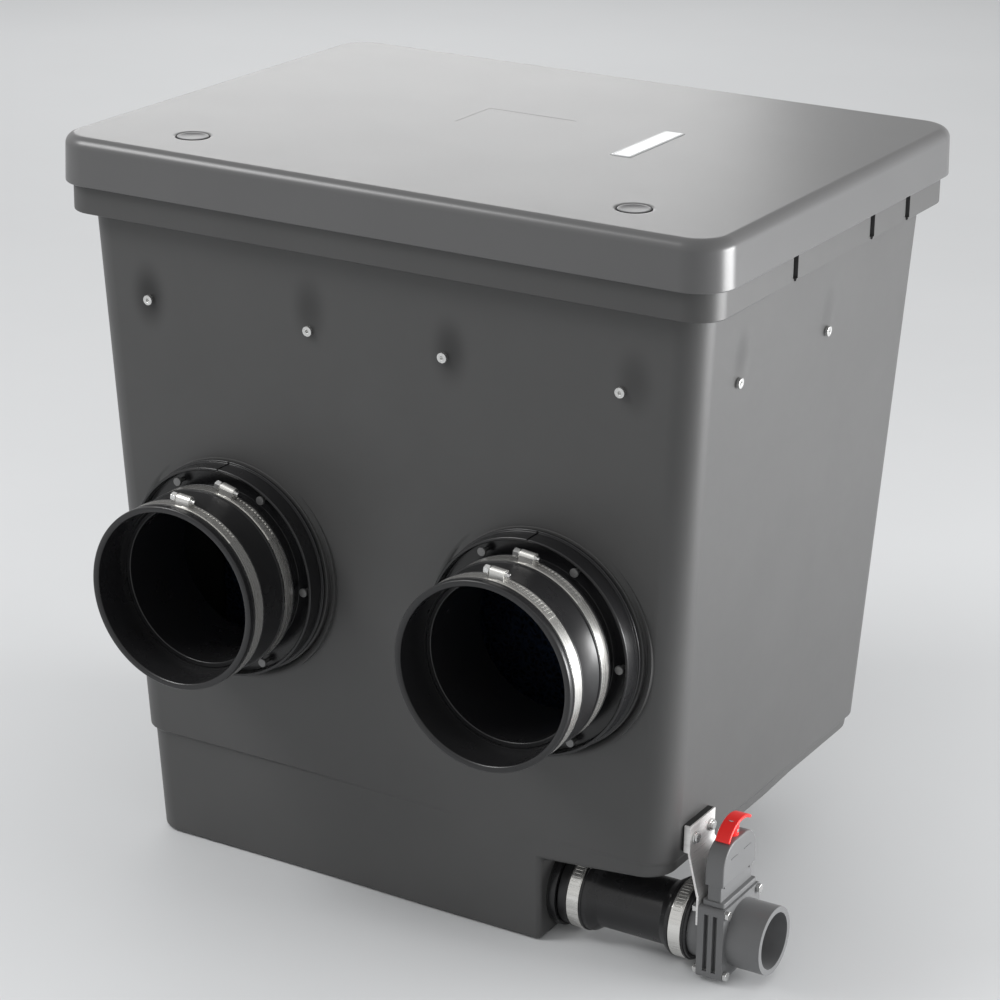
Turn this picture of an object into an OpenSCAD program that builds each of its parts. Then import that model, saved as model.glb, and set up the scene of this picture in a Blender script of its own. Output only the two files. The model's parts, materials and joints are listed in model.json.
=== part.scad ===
// Gravity-fed pond filter tank with two sleeved inlets, two outlets and a drain with a slide valve.
// Origin at the middle of the base underside, +Z up, inlets towards -Y, drain towards +X. Millimetres.

/* [Tank] */
// Outside width of the walls at the lower edge of the rim
tank_top_w = 624; // [580:1:660]
// Outside depth of the walls at the lower edge of the rim
tank_top_d = 455; // [410:1:480]
// Outside width of the walls carried down to the base
tank_base_w = 557; // [520:1:580]
// Outside depth of the walls carried down to the base
tank_base_d = 400; // [370:1:420]
// Height of the tank to the top of its rim
tank_h = 684.5; // [640:0.5:740]
// Thickness of walls and floors
wall_t = 6; // [5:0.5:8]
// Plan radius of the wall corners
corner_r = 27; // [24:1:50]
// Height of the set-in skirt round the bottom
skirt_h = 110; // [104:1:120]
// How far the skirt is set in
skirt_inset = 4; // [2:0.5:6]
// Width of the raised floor beside the deep sump
raised_w = 121; // [105:0.5:128]
// Fillet on the upright edges of the sump's end face
sump_fillet = 8; // [6:1:14]
// Underside of the raised floor at the sump
floor_rise = 84; // [84:1:90]
// How much higher the raised floor lies at the end wall
floor_climb = 10; // [4:1:10]

/* [Rim] */
// Height of the turned-down rim
rim_h = 63.5; // [60:0.5:80]
// How far the rim stands out from the walls
rim_out = 15; // [11:0.5:18]
// Thickness of the rim
rim_t = 5; // [4:0.5:6]
// Depth of the shallow pockets in the side rims
rim_pocket_depth = 2; // [1:0.5:2.5]
// Width of the upright slots in the side rims
rim_slot_w = 5; // [3:0.5:7]

/* [Lid] */
// Height of the lid's skirt
lid_h = 43.5; // [40:0.5:55]
// Thickness of the lid's top
lid_t = 6.5; // [5:0.5:9]
// Gap between the rim and the inside of the lid's skirt
lid_gap = 2.5; // [1.5:0.5:4]
// Thickness of the skirt at the top
lid_skirt_t = 3.5; // [3:0.5:5]
// How much the skirt flares out towards its bottom edge
lid_flare = 1; // [0.5:0.5:5]
// Fillet round the top edge
lid_fillet = 10; // [6:1:12]
// Radius of the round plugs
plug_r = 14.5; // [12:0.5:18]
// Plug position from the middle across the width
plug_x = 223; // [200:1:250]
// Plug position from the middle towards the front
plug_y = 183; // [150:1:195]
// Width of the bare nameplate
nameplate_w = 20; // [15:1:30]
// Length of the bare nameplate
nameplate_l = 104; // [80:1:120]

/* [Pipe ports] */
// Distance of the port axes from the outside of the end walls
port_margin = 134; // [126:0.5:138]
// Height of the port axes
port_z = 305; // [290:0.5:330]
// Outside radius of the pipe that goes into the sleeves
pipe_r = 80; // [78:0.5:82]
// Wall of the spigots
spigot_t = 5; // [4:0.5:6]
// Length of the spigots from their seat
spigot_l = 58; // [52:1:64]
// Outside radius of the port collars
collar_r = 100; // [99:0.5:104]
// Depth of the port collars from their seat
collar_h = 23; // [22:1:32]
// Screw circle radius on the collars
port_screw_circle = 91; // [90.5:0.5:91.5]
// Screws round each collar
port_screws_n = 6; // [4:1:8]
// Shank radius of the collar screws
port_screw_r = 2; // [1.5:0.25:2.5]
// Rubber sleeve length
sleeve_l = 73; // [70:1:82]
// Rubber sleeve thickness
sleeve_t = 5; // [4:0.5:6]

/* [Clamps] */
// Width of the clamp bands
band_w = 12; // [10:0.5:13]
// Thickness of the clamp bands
band_t = 0.9; // [0.6:0.1:1.2]
// Worm screw shank radius
worm_r = 3; // [2.5:0.1:3.2]
// Length of the worm housing
worm_housing_l = 14; // [12:0.5:16]

/* [Drain] */
// Drain axis from the middle towards the front
drain_y = 152; // [146:1:153]
// Height of the drain axis
drain_z = 39.5; // [39:0.5:41]
// Outside radius of the drain pipe
drain_r = 31.5; // [31:0.5:32]
// Wall of the drain spigots and stub
drain_wall = 5.5; // [4.5:0.5:6]
// Drain sleeve length
drain_sleeve_l = 130; // [124:1:136]
// Drain sleeve thickness
drain_sleeve_t = 3.5; // [3:0.5:4]

/* [Slide valve] */
// Thickness of the valve body along the pipe
valve_t = 25.5; // [24:0.5:28]
// Width of the valve body
valve_w = 72; // [72:1:76]
// Height of the valve body
valve_h = 70; // [69:1:72]
// Gap between the sleeve's end and the valve body
valve_gap = 12; // [10:1:20]
// Length of the outlet stub
stub_l = 33; // [28:1:40]
// Bore radius through the valve body
valve_bore_r = 24; // [22:0.5:25]
// Gate blade thickness
blade_t = 3.4; // [3:0.1:4]
// Bonnet width across the cap
bonnet_w = 64; // [64:1:68]
// Bonnet thickness at the cap
bonnet_t = 18; // [16:1:22]
// Length of the handle
handle_l = 46; // [40:1:60]
// Width of the handle
handle_w = 14; // [12:1:16]

/* [Bracket] */
// Sheet thickness
sheet_t = 2; // [1.5:0.5:3]
// Width of the wall plate
plate_w = 48; // [44:1:56]
// Height of the wall plate
plate_h = 26; // [22:1:30]
// Lower edge of the wall plate above the floor
plate_z = 115; // [112:1:122]
// Thickness of the rubber pad at its thickest
pad_t = 7; // [7:0.5:12]

/* [Rails and media] */
// Height of the wall screws
rail_z = 546; // [520:1:560]
// Height of the rails' upright legs
rail_leg = 30; // [26:1:36]
// Width of the rails' ledges
rail_ledge = 24; // [22:1:30]
// Thickness of the rails
rail_t = 4; // [3:0.5:5]
// Top of the slotted media floor
media_floor_z = 122; // [118:1:130]
// Thickness of the media floor
media_floor_t = 8; // [6:1:10]
// Thickness of each foam slab
foam_t = 55; // [40:1:58]
// Gap between the foam slabs
foam_gap = 8; // [5:1:12]

/* [Hidden] */
$fn = 64;
hull_fn = 32;
slice_t = 0.01;
reach = 1000;
left = -1;
right = 1;
front = -1;
rear = 1;

// Clearances
slip = 0.2;
hole_gap = 0.2;
run_gap = 0.05;
seat_gap = 0.02;
gate_gap = 0.3;

// Tank
rim_z = tank_h - rim_h;
rim_w = tank_top_w + 2 * rim_out;
rim_d = tank_top_d + 2 * rim_out;
rim_r = corner_r + 2;
draft_x = atan((tank_top_w - tank_base_w) / 2 / rim_z);
draft_y = atan((tank_top_d - tank_base_d) / 2 / rim_z);
rim_pocket_drop = 20;
rim_pocket_z = tank_h - rim_pocket_drop;
sump_end_x = tank_base_w / 2 - raised_w;
// Front and rear ends of each pocket in the side rims; each pocket ends in a slot
rim_pockets = [[-135, -85], [-58, 71], [101, 148]];

// Lid
lid_z = tank_h + lid_t;
lid_edge_w = rim_w + 2 * (lid_gap + lid_skirt_t);
lid_edge_d = rim_d + 2 * (lid_gap + lid_skirt_t);
lid_r = rim_r + lid_gap + lid_skirt_t;
lid_fillet_steps = 6;
plug_head = 3;
plug_groove = 1;
plug_stem_r = plug_r - 3.5;
nameplate_t = 1;
nameplate_sink = 0.5;
nameplate_r = 2;
nameplate_at = [130, 16];
panel = [92, 62, 1];
panel_at = [-12, 26];

// Pipe ports
port_x = half_w(port_z) - port_margin;
boss_r = collar_r + 3;
seat_lip = 0.5;
seat_y = max(half_d(port_z + boss_r), half_d(port_z - boss_r)) + seat_lip;
seat_inner_y = min(half_d(port_z + boss_r), half_d(port_z - boss_r)) - wall_t - seat_lip;
seat_t = seat_y - seat_inner_y;
gasket_t = 3;
ring_t = 8;
tail_l = seat_t + ring_t + gasket_t;
flange_floor = 10;
flange_lip_r = collar_r + 2;
flange_lip_t = 2.5;
collar_t = 3;
screw_boss_r = 5.5;
screw_boss_drop = 3;
screw_head_r = 4;
screw_head_h = 2.8;
sleeve_in_r = pipe_r + slip;
sleeve_out_r = sleeve_in_r + sleeve_t;
sleeve_start = collar_h + 2;
spigot_slack = 1;
spigot_r = pipe_r - spigot_slack;
spigot_in_r = spigot_r - spigot_t;
tail_drop = 1;
tail_r = spigot_r - tail_drop;
shoulder_r = spigot_r + 1.5;
shoulder_h = collar_h + 1;
bead_w = 2;
bead_h = 1.2;
lip_w = 6;
front_band_at = sleeve_start + sleeve_l - lip_w - bead_w - band_w / 2 - 1;
rear_band_at = sleeve_start + bead_w + band_w / 2 + 4;
front_worm_angle = 85;
rear_worm_angle_right = 84;
rear_worm_angle_left = 76;

// Clamps
worm_rise = worm_r + 2.6;
housing_r = worm_r + 1.6;
housing_w = 9.2;
worm_head_r = 4.3;
worm_head_l = 5;
worm_tip_r = 2.2;
worm_tip_l = 2.5;
worm_stick = 1.5;
tail_set = 0.8;
slot_count = 14;
slot_pitch = 3.4;
slot_w = 1.3;
slot_floor = 0.2;

// Drain
drain_bore_r = drain_r - drain_wall;
drain_collar_r = 38;
drain_collar_t = 7;
drain_gasket_t = 2;
drain_tail_r = drain_r - 4;
drain_tail_bore_r = drain_tail_r - 4;
drain_nut_r = drain_tail_r + 3;
drain_nut_t = 10;
drain_spigot_l = 34;
drain_sleeve_in_r = drain_r + slip;
drain_sleeve_out_r = drain_sleeve_in_r + drain_sleeve_t;
drain_seat_x = sump_end_x + drain_gasket_t;
drain_sleeve_x = drain_seat_x + drain_collar_t + 1;
drain_sleeve_end = drain_sleeve_x + drain_sleeve_l;
// Length of the sleeve's cuffs at the collar and at the valve, and of the cones between cuffs and waist
drain_cuffs = [29, 21];
drain_cone = 8;
drain_waist_drop = 5.5;
drain_band_off = [16, 11];
drain_band_at = [drain_sleeve_x + drain_band_off[0], drain_sleeve_end - drain_band_off[1]];
drain_worm_angle = 150;

// Slide valve
valve_x0 = drain_sleeve_end + valve_gap;
valve_x1 = valve_x0 + valve_t;
valve_mid = (valve_x0 + valve_x1) / 2;
valve_top = drain_z + valve_h / 2;
valve_spigot_in = 18;
valve_spigot_l = valve_gap + valve_spigot_in;
stub_end = valve_x1 + stub_l;
valve_corner_r = 4;
bolt_inset = 5;
bolt_y = valve_w / 2 - bolt_inset;
bolt_z = valve_h / 2 - bolt_inset;
bolt_r = 2.5;
bolt_head_r = 4.6;
bolt_head_h = 3.6;
nut_h = 4;
blade_w = 2 * valve_bore_r + 8;
gate_travel = valve_bore_r + blade_w / 2 + 1;
cavity_w = blade_w + 2 * gate_gap;
cavity_t = blade_t + 2 * gate_gap;
seal_t = 1.6;
seal_in_r = valve_bore_r + 0.5;
seal_out_r = seal_in_r + 2.6;
side_slot_end = 7;
side_slot = [4.2, 6, valve_h - 2 * side_slot_end];
side_slot_off = 4.3;
bonnet_neck_w = bonnet_w - 3;
bonnet_neck_t = bonnet_t - 5;
bonnet_cap_z = 20;
bonnet_base_h = 5;
bonnet_base_set = 2;
bonnet_roof = 4;
bonnet_h = gate_travel + bonnet_roof + 1;
bonnet_top = valve_top + bonnet_h;
bonnet_top_r = 22;
cavity_top_r = bonnet_top_r - bonnet_roof;
blade_top_r = cavity_top_r - gate_gap;
stem_r = 4;
tang_r = 1.5;
tang_l = 8;
hub_r = 6;
hub_gap = 1;
hub_h = 13;
handle_t = 3;
handle_arch = 10;
handle_tilt = 12.5;
handle_sink = 1;
handle_top = bonnet_top + hub_gap + hub_h + handle_t - handle_sink;
handle_arc_r = (pow(handle_l / 2, 2) + pow(handle_arch, 2)) / (2 * handle_arch);
handle_half_angle = asin(handle_l / 2 / handle_arc_r);
pin_r = 2;
pin_rise = 4.5;

// Bracket
plate_top = plate_z + plate_h;
plate_x = half_w(plate_z) + pad_t;
plate_return = pad_t - 2.5;
tab_x = valve_x0 - sheet_t;
tab_top = valve_top + 8;
tab_drop = 20;
tab_bottom = valve_top - tab_drop;
pad_reach = pad_t + corner_r / 4;
bracket_bolt_y = plate_w / 2 - 9;
bracket_bolt_z = plate_z + plate_h / 2;
bracket_bolt_r = 3;
dome_r = 6;
dome_h = 4;

// Rails and media
ledge_top = rail_z - 10;
leg_low = ledge_top - rail_t;
leg_high = leg_low + rail_leg;
rail_screw_r = 3;
rail_head_r = 4.7;
rail_head_h = 3.4;
rail_socket_r = 1.7;
rail_socket_h = 2;
rail_nut_r = 5.5;
rail_nut_h = 5;
rail_half = half_w(leg_low) - corner_r - wall_t / 2;
rail_end = 36;
rail_inner_share = 0.286;
rail_screw_shift = -3.5;
rail_screw_x = [for (share = [-1, -rail_inner_share, rail_inner_share, 1]) share * (rail_half - rail_end)];
rail_screw_y = [-149.5, 24.5];
grid_t = 6;
grid_seat = 12;
media_gap = 4;
foam_side_gap = 5;
foam_corner_r = 6;
foam_top_gap = 2;
foam_top = leg_low - foam_top_gap;
foam_w = 2 * (half_w(media_floor_z) - wall_t - media_gap - foam_side_gap);
foam_h = foam_top - media_floor_z;
foam_step = foam_t + foam_gap;
floor_low = media_floor_z - media_floor_t;
floor_w = 2 * (half_w(floor_low) - wall_t - media_gap);
floor_d = 2 * (half_d(floor_low) - wall_t - media_gap);
leg_r = 9;
leg_inset_x = 45;
leg_inset_y = 30;
middle_leg_x = -60;
plate_margin = 18;
plate_web = 10;
floor_corner_drop = 8;
floor_cols = 8;
floor_rows = 10;
grid_cols = 9;
grid_rows = 4;

// Half width and half depth of the outside of the walls at a height
function half_w(z) = (tank_base_w + (tank_top_w - tank_base_w) * z / rim_z) / 2;
function half_d(z) = (tank_base_d + (tank_top_d - tank_base_d) * z / rim_z) / 2;
// Underside of the raised floor at a place across the width
function raised_z(x) = floor_rise + floor_climb * (x - sump_end_x) / (tank_base_w / 2 - sump_end_x);

// Plan outline with round corners
module plan(w, d, r) {
  square([w - 2 * r, d], center = true);
  square([w, d - 2 * r], center = true);
  for (x = [-1, 1], y = [-1, 1]) {
    translate([x * (w / 2 - r), y * (d / 2 - r)]) circle(r = r);
  }
}

// Block with round upright corners
module slab(w, d, r, h) {
  linear_extrude(height = h) plan(w, d, r);
}

// Thin slice of the walls at a height, set in by an amount
module wall_slice(z, inset) {
  translate([0, 0, z])
    slab(2 * (half_w(z) - inset), 2 * (half_d(z) - inset), corner_r - inset / 2, slice_t, $fn = hull_fn);
}

// Solid inside the walls between two heights, set in by an amount
module wall_block(z0, z1, inset) {
  hull() {
    wall_slice(z0, inset);
    wall_slice(z1 - slice_t, inset);
  }
}

// Space under the raised floor, grown by the wall for the inside of the tank
module under_floor(grow) {
  x0 = sump_end_x - grow;
  far = tank_base_w;
  rotate([90, 0, 0])
    translate([0, 0, -reach / 2])
      linear_extrude(height = reach)
        polygon([[x0, -1], [far, -1], [far, raised_z(far) + grow], [x0, raised_z(x0) + grow]]);
}

// Strip that rounds one upright edge of the sump's end face
module sump_edge(side) {
  edge_y = half_d(0) - skirt_inset;
  translate([sump_end_x, side * edge_y, 0])
    rotate([-side * draft_y, 0, 0])
      translate([0, 0, -1])
        linear_extrude(height = floor_rise + 1)
          difference() {
            translate([-sump_fillet, side > 0 ? -sump_fillet : -1])
              square(sump_fillet + 1);
            translate([-sump_fillet, -side * sump_fillet]) circle(r = sump_fillet);
          }
}

// Turned-down rim with its pockets and slots on both sides
module rim() {
  difference() {
    translate([0, 0, rim_z]) slab(rim_w, rim_d, rim_r, rim_h);
    translate([0, 0, rim_z - 1])
      slab(rim_w - 2 * rim_t, rim_d - 2 * rim_t, rim_r - rim_t, rim_h - rim_t + 1);
    for (side = [left, right], p = rim_pockets) {
      rim_pocket(side, p);
    }
  }
}

// One shallow pocket and the slot at its rear end
module rim_pocket(side, p) {
  face_x = side * rim_w / 2;
  slot_low = rim_z + rim_slot_w / 2 + 1;
  translate([face_x - rim_pocket_depth, p[0], rim_z - 1])
    cube([2 * rim_pocket_depth, p[1] - p[0], rim_pocket_z - rim_z + 1]);
  translate([face_x - 2 * rim_t, p[1], slot_low]) {
    translate([0, -rim_slot_w / 2, 0]) cube([4 * rim_t, rim_slot_w, rim_pocket_z - slot_low]);
    rotate([0, 90, 0]) cylinder(r = rim_slot_w / 2, h = 4 * rim_t);
  }
}

// Places a child at each of the two ports of a wall, with its local +Z pointing out of the tank
module at_port(x, wall) {
  translate([x * port_x, wall * seat_y, port_z])
    rotate([wall > 0 ? -90 : 90, 0, 0]) children();
}

// Places a child on the drain axis, with its local +Z pointing along +X
module at_drain(x) {
  translate([x, -drain_y, drain_z]) rotate([0, 90, 0]) children();
}

// Places a child round a ring at an angle: local x outwards, local y along the ring
module round_ring(angle, radius) {
  rotate([0, 0, angle]) translate([radius, 0, 0]) children();
}

// Round tube
module tube(outer, inner, h) {
  difference() {
    cylinder(r = outer, h = h);
    translate([0, 0, -1]) cylinder(r = inner, h = h + 2);
  }
}

// Places a child at each wall screw, with its local +Z pointing square out of the wall
module at_rail_screws() {
  for (wall = [front, rear], x = rail_screw_x) {
    translate([x + rail_screw_shift, wall * half_d(rail_z), rail_z])
      rotate([-wall * 90 - draft_y * wall, 0, 0]) children();
  }
  for (side = [left, right], y = rail_screw_y) {
    translate([side * half_w(rail_z), y, rail_z])
      rotate([0, side * 90 + side * draft_x, 0]) children();
  }
}

module tank() {
  color([0.24, 0.24, 0.25])
    difference() {
      union() {
        difference() {
          union() {
            wall_block(skirt_h, tank_h, 0);
            wall_block(0, skirt_h, skirt_inset);
            rim();
          }
          difference() {
            union() {
              wall_block(skirt_h, tank_h + 1, wall_t);
              wall_block(wall_t, skirt_h, skirt_inset + wall_t);
            }
            under_floor(wall_t);
          }
        }
        for (x = [left, right], wall = [front, rear]) {
          at_port(x, wall) translate([0, 0, -seat_t]) cylinder(r = boss_r, h = seat_t);
        }
      }
      under_floor(0);
      sump_edge(front);
      sump_edge(rear);
      for (x = [left, right], wall = [front, rear]) {
        at_port(x, wall) port_drilling(seat_t + 1);
      }
      at_drain(sump_end_x - 2 * wall_t) cylinder(r = drain_tail_r + hole_gap, h = 3 * wall_t);
      at_rail_screws() translate([0, 0, -2 * wall_t]) cylinder(r = rail_screw_r + hole_gap, h = 3 * wall_t);
      at_bracket_bolts(half_w(plate_z) - 4 * wall_t) cylinder(r = bracket_bolt_r + hole_gap, h = 6 * wall_t);
    }
}

// Bore and screw holes of a port, cut inwards from the seat
module port_drilling(depth) {
  translate([0, 0, -depth]) {
    cylinder(r = tail_r + 2 * hole_gap, h = depth + 1);
    for (i = [0 : port_screws_n - 1]) {
      round_ring(i * 360 / port_screws_n, port_screw_circle)
        cylinder(r = port_screw_r + hole_gap, h = depth + 1);
    }
  }
}

// Outline of the lid at one step of its edge fillet
module lid_slice(z, inset) {
  translate([0, 0, z])
    slab(lid_edge_w - 2 * inset, lid_edge_d - 2 * inset, lid_r - inset, slice_t, $fn = hull_fn);
}

module lid() {
  skirt_z = lid_z - lid_h;
  color([0.30, 0.30, 0.31])
    difference() {
      hull() {
        lid_slice(skirt_z, -lid_flare);
        for (i = [0 : lid_fillet_steps]) {
          turn = 90 * i / lid_fillet_steps;
          lid_slice(lid_z - lid_fillet * (1 - sin(turn)) - slice_t, lid_fillet * (1 - cos(turn)));
        }
      }
      translate([0, 0, skirt_z - 1])
        slab(rim_w + 2 * lid_gap, rim_d + 2 * lid_gap, rim_r + lid_gap, lid_h - lid_t + 1);
      for (side = [left, right]) {
        translate([side * plug_x, -plug_y, lid_z]) plug_socket();
      }
      translate([nameplate_at[0], nameplate_at[1], lid_z])
        cube([nameplate_w + 2 * slip, nameplate_l + 2 * slip, 2 * nameplate_sink], center = true);
      translate([panel_at[0], panel_at[1], lid_z]) cube([panel[0], panel[1], 2 * panel[2]], center = true);
    }
}

// Stepped hole for a plug, measured from the lid's top
module plug_socket() {
  translate([0, 0, -plug_head]) cylinder(r = plug_r + plug_groove, h = plug_head + 1);
  translate([0, 0, -lid_t - 1]) cylinder(r = plug_stem_r + hole_gap, h = lid_t + 2);
}

// Stepped plug, flush with the lid's top
module plug(side) {
  color([0.22, 0.22, 0.23])
    translate([side * plug_x, -plug_y, lid_z]) {
      translate([0, 0, -plug_head]) cylinder(r = plug_r, h = plug_head);
      translate([0, 0, -lid_t]) cylinder(r = plug_stem_r, h = lid_t - 1);
    }
}

module lid_plug_left() {
  plug(left);
}

module lid_plug_right() {
  plug(right);
}

module nameplate() {
  color([0.85, 0.85, 0.86])
    translate([nameplate_at[0], nameplate_at[1], lid_z - nameplate_sink])
      slab(nameplate_w, nameplate_l, nameplate_r, nameplate_t);
}

// Angle section against a leaning wall: the wall's outside at the rail's foot, ledge and top
module rail_profile(low, ledge, high) {
  set_in = wall_t + seat_gap;
  polygon([
    [low - set_in, leg_low],
    [high - set_in, leg_high],
    [high - set_in - rail_t, leg_high],
    [ledge - set_in - rail_t, ledge_top],
    [low - set_in - rail_ledge, ledge_top],
    [low - set_in - rail_ledge, leg_low]
  ]);
}

// Rail along the width, on the front or rear wall
module long_rail(wall) {
  color("silver")
    difference() {
      rotate([0, 0, wall * 90])
        rotate([90, 0, 0])
          translate([0, 0, -rail_half])
            linear_extrude(height = 2 * rail_half)
              rail_profile(half_d(leg_low), half_d(ledge_top), half_d(leg_high));
      at_rail_screws() translate([0, 0, -4 * wall_t]) cylinder(r = rail_screw_r + hole_gap, h = 4 * wall_t);
    }
}

// Rail along the depth, on the left or right wall
module short_rail(side) {
  len = 2 * (half_d(leg_low) - wall_t - corner_r);
  color("silver")
    difference() {
      rotate([0, 0, side > 0 ? 0 : 180])
        rotate([90, 0, 0])
          translate([0, 0, -len / 2])
            linear_extrude(height = len)
              rail_profile(half_w(leg_low), half_w(ledge_top), half_w(leg_high));
      at_rail_screws() translate([0, 0, -4 * wall_t]) cylinder(r = rail_screw_r + hole_gap, h = 4 * wall_t);
    }
}

module rail_front() {
  long_rail(front);
}

module rail_rear() {
  long_rail(rear);
}

module rail_left() {
  short_rail(left);
}

module rail_right() {
  short_rail(right);
}

module rail_screws() {
  grip = wall_t + rail_t + 2 * seat_gap;
  color("gainsboro")
    at_rail_screws() {
      difference() {
        translate([0, 0, seat_gap]) cylinder(r = rail_head_r, h = rail_head_h);
        translate([0, 0, seat_gap + rail_head_h - rail_socket_h])
          cylinder(r = rail_socket_r, h = rail_socket_h + 1, $fn = 6);
      }
      translate([0, 0, -grip - rail_nut_h]) cylinder(r = rail_screw_r, h = grip + rail_nut_h + 1);
      translate([0, 0, -grip - rail_nut_h]) cylinder(r = rail_nut_r, h = rail_nut_h, $fn = 6);
    }
}

// Port flange: collar with a screw recess, spigot outside and tail through the wall
module port_flange() {
  color([0.08, 0.08, 0.09])
    difference() {
      union() {
        translate([0, 0, gasket_t]) tube(collar_r, spigot_in_r, flange_floor);
        translate([0, 0, gasket_t]) tube(flange_lip_r, spigot_in_r, flange_lip_t);
        translate([0, 0, gasket_t]) tube(collar_r, collar_r - collar_t, collar_h - gasket_t);
        translate([0, 0, gasket_t - tail_l]) tube(tail_r, spigot_in_r, tail_l + flange_floor);
        translate([0, 0, gasket_t]) tube(spigot_r, spigot_in_r, spigot_l - gasket_t);
        translate([0, 0, gasket_t]) tube(shoulder_r, spigot_in_r, shoulder_h - gasket_t);
        for (i = [0 : port_screws_n - 1]) {
          round_ring(i * 360 / port_screws_n, port_screw_circle)
            translate([0, 0, gasket_t]) cylinder(r = screw_boss_r, h = collar_h - gasket_t - screw_boss_drop);
        }
      }
      for (i = [0 : port_screws_n - 1]) {
        round_ring(i * 360 / port_screws_n, port_screw_circle)
          cylinder(r = port_screw_r + hole_gap, h = collar_h + 1);
      }
      round_ring(90, collar_r) translate([-1, -1, gasket_t + 2]) cube([2, 2, collar_h]);
    }
}

module inlet_flange_left() {
  at_port(left, front) port_flange();
}

module inlet_flange_right() {
  at_port(right, front) port_flange();
}

module outlet_flange_left() {
  at_port(left, rear) port_flange();
}

module outlet_flange_right() {
  at_port(right, rear) port_flange();
}

// Flat ring round a port tail, drilled for the collar screws
module drilled_ring(outer, h) {
  difference() {
    cylinder(r = outer, h = h);
    translate([0, 0, h]) port_drilling(h + 1);
  }
}

// Rubber gasket between collar and wall
module port_gasket() {
  color([0.05, 0.05, 0.05]) drilled_ring(collar_r - 0.5, gasket_t);
}

// Backing ring inside the wall that takes the screws
module port_ring() {
  color([0.12, 0.12, 0.13]) translate([0, 0, -seat_t - ring_t]) drilled_ring(collar_r - 1, ring_t);
}

module inlet_gasket_left() {
  at_port(left, front) port_gasket();
}

module inlet_gasket_right() {
  at_port(right, front) port_gasket();
}

module outlet_gaskets() {
  for (x = [left, right]) {
    at_port(x, rear) port_gasket();
  }
}

module inlet_ring_left() {
  at_port(left, front) port_ring();
}

module inlet_ring_right() {
  at_port(right, front) port_ring();
}

module outlet_rings() {
  for (x = [left, right]) {
    at_port(x, rear) port_ring();
  }
}

// Screws of one wall's two collars
module port_screws(wall) {
  head_z = collar_h - screw_boss_drop;
  shank_l = head_z + seat_t + ring_t - 1;
  color("gainsboro")
    for (x = [left, right], i = [0 : port_screws_n - 1]) {
      at_port(x, wall)
        round_ring(i * 360 / port_screws_n, port_screw_circle) {
          translate([0, 0, head_z]) cylinder(r = screw_head_r, h = screw_head_h);
          translate([0, 0, head_z - shank_l]) cylinder(r = port_screw_r, h = shank_l);
        }
    }
}

module inlet_screws() {
  port_screws(front);
}

module outlet_screws() {
  port_screws(rear);
}

// Rubber sleeve with a lip at its mouth and a bead on each side of both clamp bands
module port_sleeve() {
  color([0.07, 0.07, 0.08])
    difference() {
      union() {
        translate([0, 0, sleeve_start]) cylinder(r = sleeve_out_r, h = sleeve_l);
        translate([0, 0, sleeve_start + sleeve_l - lip_w]) cylinder(r = sleeve_out_r + bead_h, h = lip_w);
        for (at = [front_band_at, rear_band_at], side = [-1, 1]) {
          translate([0, 0, at + side * (band_w + bead_w + 1) / 2 - bead_w / 2])
            cylinder(r = sleeve_out_r + bead_h, h = bead_w);
        }
      }
      translate([0, 0, sleeve_start - 1]) cylinder(r = spigot_r + slip, h = sleeve_l);
      translate([0, 0, spigot_l]) cylinder(r = sleeve_in_r, h = sleeve_l);
    }
}

module inlet_sleeve_left() {
  at_port(left, front) port_sleeve();
}

module inlet_sleeve_right() {
  at_port(right, front) port_sleeve();
}

// Worm-drive band round a sleeve: plain ring, slotted tail and worm housing
// turn gives the way the tail runs
module clamp_band(seat_r, angle, turn) {
  inner = seat_r + slip / 2;
  outer = inner + band_t;
  pitch = slot_pitch * 180 / PI / outer;
  tail = (slot_count + 3) * pitch;
  color("gainsboro")
    difference() {
      union() {
        translate([0, 0, -band_w / 2]) tube(outer, inner, band_w);
        rotate([0, 0, turn > 0 ? angle : angle - tail])
          rotate_extrude(angle = tail)
            translate([outer - band_t / 2, tail_set - band_w / 2])
              square([1.5 * band_t, band_w - 2 * tail_set]);
        round_ring(angle, outer) {
          translate([-band_t / 2, -worm_housing_l / 2, -housing_w / 2])
            cube([worm_rise + band_t / 2, worm_housing_l, housing_w]);
          translate([worm_rise, worm_housing_l / 2, 0])
            rotate([90, 0, 0]) cylinder(r = housing_r, h = worm_housing_l);
        }
      }
      round_ring(angle, outer)
        translate([worm_rise, worm_housing_l, 0])
          rotate([90, 0, 0]) cylinder(r = worm_r + run_gap, h = 2 * worm_housing_l);
      for (i = [3 : slot_count + 2]) {
        round_ring(angle + turn * (i - 0.2) * pitch, outer + slot_floor + band_t)
          cube([2 * band_t, slot_w, band_w - 5], center = true);
      }
    }
}

// Worm screw in its housing: shank, slotted hexagon head and tip
module worm(seat_r, angle, turn) {
  outer = seat_r + slip / 2 + band_t;
  half = worm_housing_l / 2;
  color("silver")
    round_ring(angle, outer)
      translate([worm_rise, 0, 0])
        rotate([turn > 0 ? 90 : -90, 0, 0])
          difference() {
            union() {
              translate([0, 0, -half - worm_stick]) cylinder(r = worm_r, h = worm_housing_l + 2 * worm_stick);
              translate([0, 0, half + worm_stick]) cylinder(r = worm_head_r, h = worm_head_l, $fn = 6);
              translate([0, 0, -half - worm_stick - worm_tip_l]) cylinder(r = worm_tip_r, h = worm_tip_l);
            }
            translate([0, 0, half + worm_stick + worm_head_l])
              cube([3 * worm_r, 1.2, 3], center = true);
          }
}

module front_clamp_left() {
  at_port(left, front) translate([0, 0, front_band_at]) clamp_band(sleeve_out_r, front_worm_angle, -1);
}

module front_clamp_right() {
  at_port(right, front) translate([0, 0, front_band_at]) clamp_band(sleeve_out_r, front_worm_angle, -1);
}

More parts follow.
